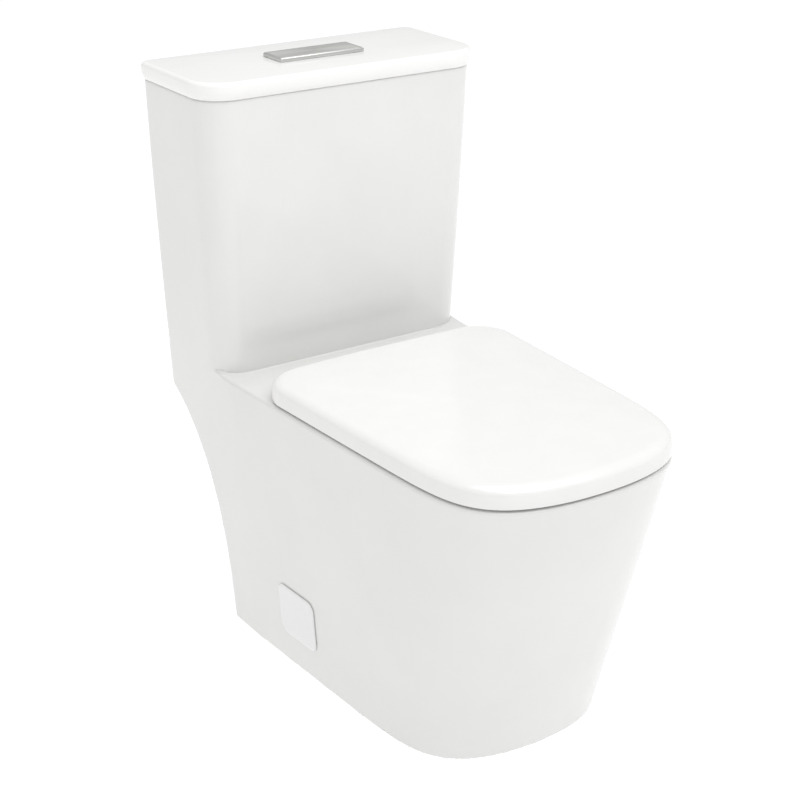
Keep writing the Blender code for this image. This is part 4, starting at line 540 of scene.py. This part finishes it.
def moulded(name, low, high, rough, grain=900, depth=0.000006, coat=0.0):
    """Moulded plastic: fine grain, faint flow marks and a little change in gloss."""
    m = Nodes(name)
    m.set(IOR=1.49, Coat_Weight=coat, Coat_Roughness=0.06)
    m.colour(m.noise(22, 4, 0.6), low, high)
    m.roughness(m.noise(60, 3), *rough)
    m.bump((m.noise(grain, 2), depth), (m.noise(16, 1), 0.00006))
    return m.material


def brushed(name, low, high, rough, stretch):
    """Metal with straight brushing along one axis and a little cloudiness."""
    m = Nodes(name)
    m.set(Metallic=1.0, Anisotropic=0.35)
    lines = m.noise(900, 3, 0.65, stretch)
    m.colour(lines, low, high)
    m.roughness(m.noise(380, 3, 0.6, stretch), *rough)
    m.bump((lines, 0.000007), (m.noise(40, 2), 0.00002))
    return m.material


def polished(name, low, high, rough):
    """Plated metal: bright, with faint wipe marks."""
    m = Nodes(name)
    m.set(Metallic=1.0)
    m.colour(m.noise(30, 4), low, high)
    m.roughness(m.noise(55, 4, 0.6), *rough)
    m.bump((m.noise(700, 2), 0.0000012), (m.noise(60, 1), 0.000010))
    return m.material


def grey(value, tint=0.0):
    """A neutral colour, its blue lower by the tint."""
    return (value, value, value - tint)


ALONG_X, ALONG_Z = (0.03, 1, 1), (1, 1, 0.05)  # the way that the brushing runs


def frame_finish():
    """The button's frame: satin plating, finer than the button's brushing."""
    return brushed("satin_chrome", grey(0.58, 0.015), grey(0.68, 0.015), (0.34, 0.46), ALONG_X)


def rubber(name, low, high, rough, coat=0.0):
    """Moulded rubber: matt, pebbled and a little dusty."""
    m = Nodes(name)
    m.set(IOR=1.5, Coat_Weight=coat, Coat_Roughness=0.3)
    m.colour(m.noise(70, 4, 0.65), low, high)
    m.roughness(m.noise(120, 2), *rough)
    m.bump((m.cells(1400), 0.000012), (m.noise(260, 3), 0.00002))
    return m.material


MATERIALS = {
    "glazed_ceramic": glaze(),
    "seat_plastic": moulded(
        "seat_plastic", grey(0.835, 0.010), grey(0.855, 0.009), (0.15, 0.21), 700, 0.0000035, 0.2
    ),
    "cap_plastic": moulded(
        "cap_plastic", grey(0.835, 0.003), grey(0.855, 0.003), (0.20, 0.27), 700, 0.000004
    ),
    "brushed_metal": brushed(
        "brushed_metal", grey(0.62, 0.02), grey(0.72, 0.02), (0.42, 0.54), ALONG_X
    ),
    "chrome": polished("chrome", grey(0.60, 0.01), grey(0.68, 0.01), (0.10, 0.20)),
    "stainless_steel": brushed(
        "stainless_steel", grey(0.46, 0.01), grey(0.60, 0.01), (0.24, 0.36), ALONG_Z
    ),
    "brass": polished("brass", (0.56, 0.41, 0.16), (0.68, 0.51, 0.23), (0.22, 0.34)),
    "white_plastic": moulded("white_plastic", grey(0.74, 0.015), grey(0.80, 0.015), (0.34, 0.46)),
    "grey_plastic": moulded("grey_plastic", (0.24, 0.26, 0.28), (0.31, 0.33, 0.35), (0.38, 0.52)),
    "blue_plastic": moulded("blue_plastic", (0.035, 0.15, 0.40), (0.06, 0.21, 0.49), (0.34, 0.46)),
    "black_rubber": rubber("black_rubber", grey(0.022), grey(0.045, 0.001), (0.62, 0.80)),
    "clear_rubber": rubber("clear_rubber", grey(0.58, 0.02), grey(0.68, 0.02), (0.36, 0.50), 0.2),
}

# every carried-over CAD piece takes the finish of its slot
SLOT_OF = {entry["node"]: entry["material_slot"] for entry in frame["record"]["subparts"]}
for node, piece in NODES.items():
    piece.data.materials.clear()
    piece.data.materials.append(MATERIALS[SLOT_OF[node]])
    soften(piece, 35)

# ---------------------------------------------------------------------------------------------
# Ceramic body
# ---------------------------------------------------------------------------------------------


def ceramic_skin():
    """The outside as a fine closed mesh on the signed distance."""
    skin = loft("ceramic_skin", [blank_ring(z) for z in np.linspace(0.0, RIM, 26)])
    join(skin, loft("tank_skin", [tank_ring(z) for z in np.linspace(RIM - 0.02, SEAM, 16)]))
    behind = [(BEYOND, BACK_CURVE_TOP), *[tuple(q) for q in BACK_CURVE[1:-1]]]
    behind += [(BASE_BACK, -0.05), (BEYOND, -0.05)]
    cut(skin, loft("behind", [[(x, y, z) for y, z in behind] for x in (-0.30, 0.30)]))
    remesh = skin.modifiers.new("even", "REMESH")
    remesh.mode = "VOXEL"
    remesh.voxel_size = 0.0036
    applied(skin)
    set_points(skin.data, settle(points_of(skin.data)))
    thin = skin.modifiers.new("thin", "DECIMATE")
    thin.ratio = 0.45
    applied(skin)
    set_points(skin.data, settle(points_of(skin.data), 3, 0.003))
    return skin


def blank_ring(z):
    """The plan of the skirt at a height, squared off at the back."""
    taper, start, front = (float(value) for value in outline_terms(z))
    half = [(float(side_half_width(z)), TANK_BACK)]
    for y in np.linspace(TAPER_START, -0.08, 14):
        half.append((float(half_width(y, z)), float(y)))
    for angle in np.linspace(0.22, math.pi / 2, 40):
        share = math.sin(angle) ** (2 / FRONT_POWER)
        y = start - share * (start - front)
        if y < -0.085:
            half.append((float(half_width(y, z)), y))
    half[-1] = (0.0, front)
    return at_height(half + [(-x, y) for x, y in reversed(half[:-1])], z)


def tank_ring(z):
    """The plan of the tank at a height, squared off at the back."""
    width, front = float(side_half_width(z)), float(tank_front(z))
    centre, half = (front + TANK_BACK) / 2, (TANK_BACK - front) / 2
    ring = []
    for k, (x, y) in enumerate(rounded_rectangle(width, half, TANK_FRONT_RADIUS, (0, centre), 12)):
        if y < centre:
            ring.append((x, y))
        else:  # the points at a back corner lie a hair apart, so that no two are the same
            ring.append((math.copysign(width, x) * (1 - 0.00001 * k), TANK_BACK))
    return at_height(ring, z)


def bowl_cutter():
    """The bowl's inside, a little larger than the CAD's, with a rolled upper edge."""
    rim_half = float(half_width(SEAT_CENTRE, RIM)) - BOWL_INSET
    drop = RIM - BOWL_FLOOR
    depth = np.array([0.0, 0.2, 0.4, 0.6, 0.76, 0.9, 1.0])
    width = np.array([1.0, 0.97, 0.86, 0.66, 0.46, 0.33, 0.25])
    from_front = np.array([0.0, 0.008, 0.030, 0.070, 0.118, 0.168, 0.200])
    from_back = np.array([0.0, 0.004, 0.016, 0.040, 0.066, 0.080, 0.086])
    grow = 0.0008
    rings = []

    def ring(z, extra):
        at = (RIM - z) / drop
        half = rim_half * np.interp(at, depth, width) + extra
        low = BOWL_FRONT + np.interp(at, depth, from_front) - extra
        high = BOWL_BACK - np.interp(at, depth, from_back) + extra
        outline = superellipse(half, (high - low) / 2, (high + low) / 2, BOWL_POWER, 96)
        return at_height(outline, z)

    # the roll crosses the flat rim at a clear angle, so that the cut between them stays clean
    crossing = math.radians(24)
    for angle in np.radians([0, 12, 24, 35, 46, 57, 68, 79, 90]):
        z = RIM + BOWL_ROLL * (math.cos(angle) - math.cos(crossing))
        rings.append(ring(z, grow + BOWL_ROLL * (1 - math.sin(angle))))
    for at in np.linspace(0.04, 1.0, 30):
        rings.append(ring(RIM - drop * at, grow))
    return loft("bowl_cutter", rings)


def ceramic_body():
    """The fine outside, kept where the CAD's own solid is, so that it has the CAD's hollows."""
    skin = ceramic_skin()
    # the CAD's hollows: its own solid, with the outer skin pushed clear of the fine one
    hollows = copy_of("ceramic_body", "ceramic_hollows")
    points = points_of(hollows.data)
    outside = ceramic_distance(points) > -SKIN_BAND
    points[outside] += outward(points[outside]) * PUSH_OUT
    set_points(hollows.data, points)
    cut(hollows, bowl_cutter())
    combine(skin, hollows, "INTERSECT")
    soften(skin, SKIN_ANGLE)
    # corners on the outside take its exact normal
    mesh = skin.data
    points = points_of(mesh)
    corner_vertex = np.empty(len(mesh.loops), dtype=np.int32)
    mesh.loops.foreach_get("vertex_index", corner_vertex)
    normals = np.empty(len(mesh.loops) * 3)
    mesh.corner_normals.foreach_get("vector", normals)
    normals = normals.reshape(-1, 3)
    on_skin = np.abs(ceramic_distance(points)) < ON_SKIN
    wanted = outward(points)[corner_vertex]
    near = (normals * wanted).sum(axis=1) > math.cos(math.radians(SKIN_ANGLE))
    use = on_skin[corner_vertex] & near
    normals[use] = wanted[use]
    mesh.normals_split_custom_set([tuple(n) for n in normals])
    skin.name = "ceramic_body_glazed"
    material = MATERIALS["glazed_ceramic"]
    return finish_piece(skin, "ceramic_body", "toilet", material)


# ---------------------------------------------------------------------------------------------
# Tank lid and button
# ---------------------------------------------------------------------------------------------


def lid_outline(margin, steps=14):
    """The lid's plan, moved in by a margin."""
    half = LID_HALF - margin
    front, back = LID_FRONT + margin, BACK_Y - margin
    front_radius = TANK_FRONT_RADIUS + 0.005 - margin
    back_radius = TANK_BACK_RADIUS + 0.003 - margin / 2
    right = []
    for k in range(steps + 1):
        angle = math.pi / 2 * (1 - k / steps)
        x = half - back_radius * (1 - math.cos(angle))
        right.append((x, back - back_radius * (1 - math.sin(angle))))
    for share in np.linspace(0.1, 0.9, 7):
        right.append((half, back - back_radius + (front + front_radius - back + back_radius) * share))
    for k in range(steps + 1):
        angle = math.pi / 2 * k / steps
        x = half - front_radius * (1 - math.cos(angle))
        right.append((x, front + front_radius * (1 - math.sin(angle))))
    right += [(x, front) for x in np.linspace(right[-1][0], 0, 9)[1:]]
    left = [(-x, y) for x, y in reversed(right[:-1])]
    return (right + left)[::-1]


def tank_lid():
    low = SEAM + GAP
    # margin and height up the side, then the roll into the top
    side = [(0.0052, low), (0.0040, low + 0.0004), (0.0024, low + 0.0030)]
    side += [(0.0010, low + 0.0070), (0.0003, low + 0.0105)]
    roll, height = 0.0062, 0.0060
    for angle in quarter_turn(10, 0):
        z = LID_TOP - height + height * math.sin(angle)
        side.append((roll * (1 - math.cos(angle)), z))
    lid = loft("tank_lid_glazed", [at_height(lid_outline(margin), z) for margin, z in side])

    # the rib that drops inside the tank, and the hollow within it
    half_x = TOP_HALF - TANK_WALL - 0.003
    front, back = TANK_FRONT_TOP + TANK_WALL + 0.003, TANK_BACK - TANK_WALL - 0.002
    half_y, centre = (back - front) / 2, (0, (front + back) / 2)
    radius = TANK_FRONT_RADIUS - TANK_WALL

    def layer(margin, z):
        outline = rounded_rectangle(half_x - margin, half_y - margin, radius - margin, centre)
        return at_height(outline, z)

    rib_low = low - LID_RIB_DROP
    rib = [(0.0010, rib_low), (0.0003, rib_low + 0.0005), (0.0, rib_low + 0.0016)]
    rib.append((0.0, low + 0.002))
    join(lid, loft("rib", [layer(margin, z) for margin, z in rib]))
    top = LID_WEB_UNDERSIDE
    hollow = [(-0.0012, rib_low - 0.01), (-0.0012, rib_low), (0.0, rib_low + 0.0014)]
    hollow += [(0.0, top - 0.003), (0.0009, top - 0.0009), (0.003, top)]
    cut(lid, loft("hollow", [layer(LID_RIB_WALL + margin, z) for margin, z in hollow]))

    hole = 2 * GAP + BEZEL_WALL + BUTTON_CLEARANCE
    half_x, half_y = BUTTON_LENGTH / 2 + hole, BUTTON_WIDTH / 2 + hole
    outline = rounded_rectangle(half_x, half_y, 0.003, (0, LID_CENTRE))
    cut(lid, loft("button_hole", [at_height(outline, z) for z in (top - 0.02, LID_TOP + 0.01)]))
    soften(lid, 34)
    return finish_piece(lid, "tank_lid", "tank_lid", lid_glaze_painted_lighter())


def edged(node, name, angle):
    """The CAD piece with its sharp edges softened."""
    piece = copy_of(node, name)
    bevel = piece.modifiers.new("edges", "BEVEL")
    bevel.width = 0.00018
    bevel.segments = 2
    bevel.limit_method = "ANGLE"
    bevel.angle_limit = math.radians(angle)
    applied(piece)
    return soften(piece, 30)


def bezel():
    """The frame round the button."""
    piece = edged("button_bezel", "button_bezel_plated", 35)
    return finish_piece(piece, "button_bezel", "tank_lid", frame_finish())


def button():
    piece = edged("flush_button", "flush_button_brushed", 30)
    material = MATERIALS["brushed_metal"]
    return finish_piece(piece, "flush_button", "flush_button", material)


def button_spring():
    """The spring under the button, carried by the tank lid with a mesh of its own; nothing here
    shortens it as the button goes down.
    """
    piece = soften(copy_of("button_spring", "button_spring_wire"), 35)
    material = MATERIALS["stainless_steel"]
    finish_piece(piece, "button_spring", "tank_lid", material)
    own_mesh(piece)


# ---------------------------------------------------------------------------------------------
# Seat and cover
# ---------------------------------------------------------------------------------------------

SEAT_COUNT = 240


def rim_outline(back_y, corner, bow, margin):
    """The rim's outline closed by a back edge with round corners, moved in by a margin."""
    shoulder = back_y - corner - bow
    radius = corner + margin
    width = float(half_width(shoulder, RIM))
    right = []
    for x in np.linspace(0, width - radius, 12)[:-1]:
        right.append((float(x), shoulder + radius + bow * (1 - (x / width) ** 2)))
    for angle in np.linspace(math.pi / 2, 0, 18):
        x = width - radius + radius * math.cos(angle)
        right.append((x, shoulder + radius * math.sin(angle) + bow * (1 - (x / width) ** 2)))
    for y in np.linspace(shoulder - 0.006, -0.230, 60):
        right.append((float(half_width(y, RIM)), float(y)))
    start, front = RIM_CORNER_START, FRONT_Y
    for angle in np.linspace(0.2, math.pi / 2, 60):
        share = math.sin(angle) ** (2 / FRONT_POWER)
        y = start - share * (start - front)
        if y < -0.233:
            right.append((float(half_width(y, RIM)), y))
    right[-1] = (0.0, front)
    whole = right + [(-x, y) for x, y in reversed(right[1:-1])]
    outline = resample(whole[::-1], 720, SEAT_CENTRE)
    return resample(inset(outline, margin), SEAT_COUNT, SEAT_CENTRE)


def on_hinge(*places):
    """Points on the hinge line."""
    return [(x, HINGE_Y, HINGE_Z) for x in places]


def cover_knuckles(cover):
    """Notches for the posts and the ring's knuckles, and the cover's own knuckles."""
    for side in (-1, 1):
        middle = side * HINGE_X
        near = middle - side * (NOTCH_INSIDE + KNUCKLE_GAP)
        far = middle + side * (POST_HALF + RING_KNUCKLE + 2 * KNUCKLE_GAP)
        left, right = sorted((near, far))
        notch_low = (left, HINGE_Y - 0.004, COVER_EDGE_Z - 0.01)
        notch_high = (right, COVER_BACK_Y + 0.01, HINGE_Z + KNUCKLE_RADIUS + 0.0012)
        cut(cover, box("notch", notch_low, notch_high))
        far = middle - side * (POST_HALF + KNUCKLE_GAP)
        near = far - side * COVER_KNUCKLE
        left, right = sorted((near, far))
        web_low = (left + 0.0001, HINGE_Y - 0.006, HINGE_Z)
        web_high = (right - 0.0001, HINGE_Y + 0.006, COVER_CEILING + 0.002)
        join(cover, box("web", web_low, web_high))
        join(cover, rod("knuckle", KNUCKLE_RADIUS, *on_hinge(near, far)))
        bore = on_hinge(near + side * 0.0006, far + side * 0.01)
        cut(cover, rod("bore", DAMPER_RADIUS + GAP, *bore))


def seat_cover():
    edge = rim_outline(COVER_BACK_Y, COVER_CORNER, COVER_BOW, 0.001)
    low, ceiling = COVER_EDGE_Z, COVER_CEILING
    crown_low = COVER_TOP_Z - 0.0009
    # margin and height: inside from the ceiling down, round the lower edge and up the side
    profile = [(0.0120, ceiling), (0.0085, ceiling - 0.0008), (0.0062, ceiling - 0.0032)]
    profile += [(0.0055, ceiling - 0.0070), (0.0055, low + 0.0004), (0.0051, low), (0.0011, low)]
    profile += [(0.0003, low + 0.0006), (0.0, low + 0.0022), (0.0, low + 0.0060)]
    roll_x, roll_z = 0.0165, 0.0125
    for angle in quarter_turn(14):
        z = COVER_TOP_Z - roll_z + (roll_z - 0.0009) * math.sin(angle)
        profile.append((roll_x * (1 - math.cos(angle)) + 0.0002, z))
    rings = [at_height(inset(edge, margin), z) for margin, z in profile]
    last = inset(edge, roll_x + 0.0002)
    for share in (0.985, 0.96, 0.92, 0.86, 0.78, 0.68, 0.56, 0.42, 0.28, 0.14, 0.04):
        z = crown_low + 0.0037 * (1 - share**2.2)
        rings.append([(x * share, SEAT_CENTRE + (y - SEAT_CENTRE) * share, z) for x, y in last])
    cover = loft("seat_cover_moulded", rings)
    cover_knuckles(cover)
    relief_low = (-0.30, HINGE_Y - 0.0005, RIM - 0.01)
    cut(cover, box("relief", relief_low, (0.30, COVER_BACK_Y + 0.02, HINGE_Z - 0.0035)))
    soften(cover, 34)
    material = MATERIALS["seat_plastic"]
    return finish_piece(cover, "seat_cover", "seat_cover", material)


def seat_ring():
    outer = rim_outline(RING_BACK_Y, RING_CORNER, 0.0, 0.0085)
    hole = superellipse(RING_HOLE_HALF_X, RING_HOLE_HALF_Y, SEAT_CENTRE, RING_HOLE_POWER, 720)
    inner = resample(hole, SEAT_COUNT, SEAT_CENTRE)
    low, top = RING_LOW, RING_TOP
    outside = [(0.0022, low), (0.0006, low + 0.0006), (0.0, low + 0.0022), (0.0, top - 0.0052)]
    for angle in quarter_turn(8):
        outside.append((0.0085 * (1 - math.cos(angle)), top - 0.0052 + 0.0050 * math.sin(angle)))
    outside.append((0.0130, top))
    inside = [(-0.0150, top - 0.0001)]
    for angle in quarter_turn(8):
        z = top - 0.0001 - 0.0070 * (1 - math.cos(angle))
        inside.append((-0.0105 * (1 - math.sin(angle)), z))
    inside += [(0.0, low + 0.0022), (-0.0007, low + 0.0006), (-0.0022, low)]
    rings = [at_height(inset(outer, margin), z) for margin, z in outside]
    for share in (0.25, 0.5, 0.75):
        middle = inset(outer, 0.0130) * (1 - share) + inset(inner, -0.0150) * share
        rings.append(at_height(middle, top - 0.0012 * math.sin(math.pi * share)))
    rings += [at_height(inset(inner, margin), z) for margin, z in inside]
    ring = loft("seat_ring_moulded", rings, closed=True)
    for side in (-1, 1):
        near = side * (HINGE_X + POST_HALF + KNUCKLE_GAP)
        far = near + side * RING_KNUCKLE
        left, right = sorted((near, far))
        arm_low = (left + 0.0001, RING_BACK_Y - 0.0075, low + 0.0027)
        join(ring, box("arm", arm_low, (right - 0.0001, HINGE_Y, top - 0.0054)))
        join(ring, rod("knuckle", KNUCKLE_RADIUS, *on_hinge(near, far)))
        bore = on_hinge(near - side * 0.01, far + side * 0.01)
        cut(ring, rod("bore", HINGE_PIN_RADIUS + GAP, *bore, 32))
    soften(ring, 34)
    material = MATERIALS["seat_plastic"]
    return finish_piece(ring, "seat_ring", "seat_ring", material)


# ---------------------------------------------------------------------------------------------
# Side covers
# ---------------------------------------------------------------------------------------------


def side_cap(word, side):
    """A square cover that follows the skirt's side, with a plug behind it."""

    def layer(margin, reach):
        half_y, half_z = CAP_LENGTH / 2 - margin, CAP_HEIGHT / 2 - margin
        radius = max(CAP_RADIUS - margin, 0.003)
        steps = 12
        outline = rounded_rectangle(half_y, half_z, radius, (OUTLET_Y, CAP_CENTRE_Z), steps)
        fine = []
        for k, (y, z) in enumerate(outline):
            fine.append((y, z))
            after_y, after_z = outline[(k + 1) % len(outline)]
            if k % (steps + 1) == steps:  # a straight side, which bends with the skirt
                for share in (0.2, 0.4, 0.6, 0.8):
                    fine.append((y + (after_y - y) * share, z + (after_z - z) * share))
        return [(side * (float(half_width(y, z)) + reach), y, z) for y, z in fine]

    # margin and reach out of the skirt: the plug, the rim of the cover, then its crowned face
    profile = [(CAP_BORDER + 0.0006, -0.0085), (CAP_BORDER, -0.0070), (CAP_BORDER, 2 * GAP)]
    profile += [(0.0002, 2 * GAP), (0.0, 3 * GAP), (0.0, 0.0013), (0.0001, 0.0018)]
    profile += [(0.0004, 0.0022), (0.0010, 0.0025), (0.0060, 0.0026), (0.0160, 0.0027)]
    profile.append((0.0300, 0.0028))
    rings = [layer(margin, reach) for margin, reach in profile]
    cap = soften(loft(f"side_cap_{word}_moulded", rings), 34)
    node, material = f"side_cap_{word}", MATERIALS["cap_plastic"]
    return finish_piece(cap, node, "toilet", material)


# ---------------------------------------------------------------------------------------------
# Studio
# ---------------------------------------------------------------------------------------------


def lit_floor(name, glow):
    """A pale matt surface that gives light of its own."""
    m = Nodes(name)
    m.set(Roughness=0.9, Emission_Color=(1, 1, 1, 1), Emission_Strength=glow)
    m.colour(m.noise(0.8, 2), grey(0.29), grey(0.31))
    return m


def floor_material():
    m = lit_floor("studio_floor", 0.84)
    m.set(IOR=1.2)
    return m.material


def front_panel():
    """White light panel on the floor in front, a sector of a ring about the tank's left corner.

    It shows in the glaze as the highlight down that corner, and lights the fronts from below.
    """
    centre_x, centre_y = -0.16, 0.21
    near, far, height = 1.35, 3.6, 0.001
    sector = np.radians(np.linspace(217, 299, 14))
    points = []
    for radius, angles in ((near, sector), (far, sector[::-1])):
        for a in angles:
            x, y = centre_x + radius * math.cos(a), centre_y + radius * math.sin(a)
            points.append((x, y, height))
    panel = object_from("front_glow", points, [tuple(range(len(points)))])
    panel.data.materials.append(lit_floor("studio_glow", 1.0).material)


def studio():
    corners = [(-30, -30, 0), (30, -30, 0), (30, 30, 0), (-30, 30, 0)]
    floor = object_from("floor", corners, [(0, 1, 2, 3)])
    floor.data.materials.append(floor_material())
    front_panel()

    world = bpy.data.worlds.new("studio")
    world.use_nodes = True
    background = world.node_tree.nodes["Background"]
    background.inputs["Color"].default_value = (1.0, 1.0, 1.0, 1)
    background.inputs["Strength"].default_value = 0.62
    bpy.context.scene.world = world

    light = bpy.data.lights.new("overhead", "AREA")
    light.shape = "RECTANGLE"
    light.size = light.size_y = 3.0
    light.energy = 56
    lamp = bpy.data.objects.new("overhead", light)
    place, target = Vector((0.1, -0.75, 3.0)), Vector((0, 0, 0.4))
    lamp.location = place
    lamp.rotation_euler = (target - place).to_track_quat("-Z", "Y").to_euler()
    bpy.context.scene.collection.objects.link(lamp)


def camera():
    """The photograph's viewpoint."""
    data = bpy.data.cameras.new("camera")
    data.sensor_width = 36
    data.lens = 77.13
    data.shift_x = 0.01275
    data.shift_y = 0.01738
    data.clip_start = 0.05
    made = bpy.data.objects.new("camera", data)
    made.location = (-1.1154, -1.6036, 1.2045)
    made.rotation_euler = Euler((math.radians(90 - 23.720), 0, math.radians(-33.508)))
    bpy.context.scene.collection.objects.link(made)
    bpy.context.scene.camera = made


ceramic_body()
tank_lid()
bezel()
button()
button_spring()
seat_cover()
seat_ring()
side_cap("left", -1)
side_cap("right", 1)
studio()
camera()
bpy.context.scene.view_settings.view_transform = "Standard"
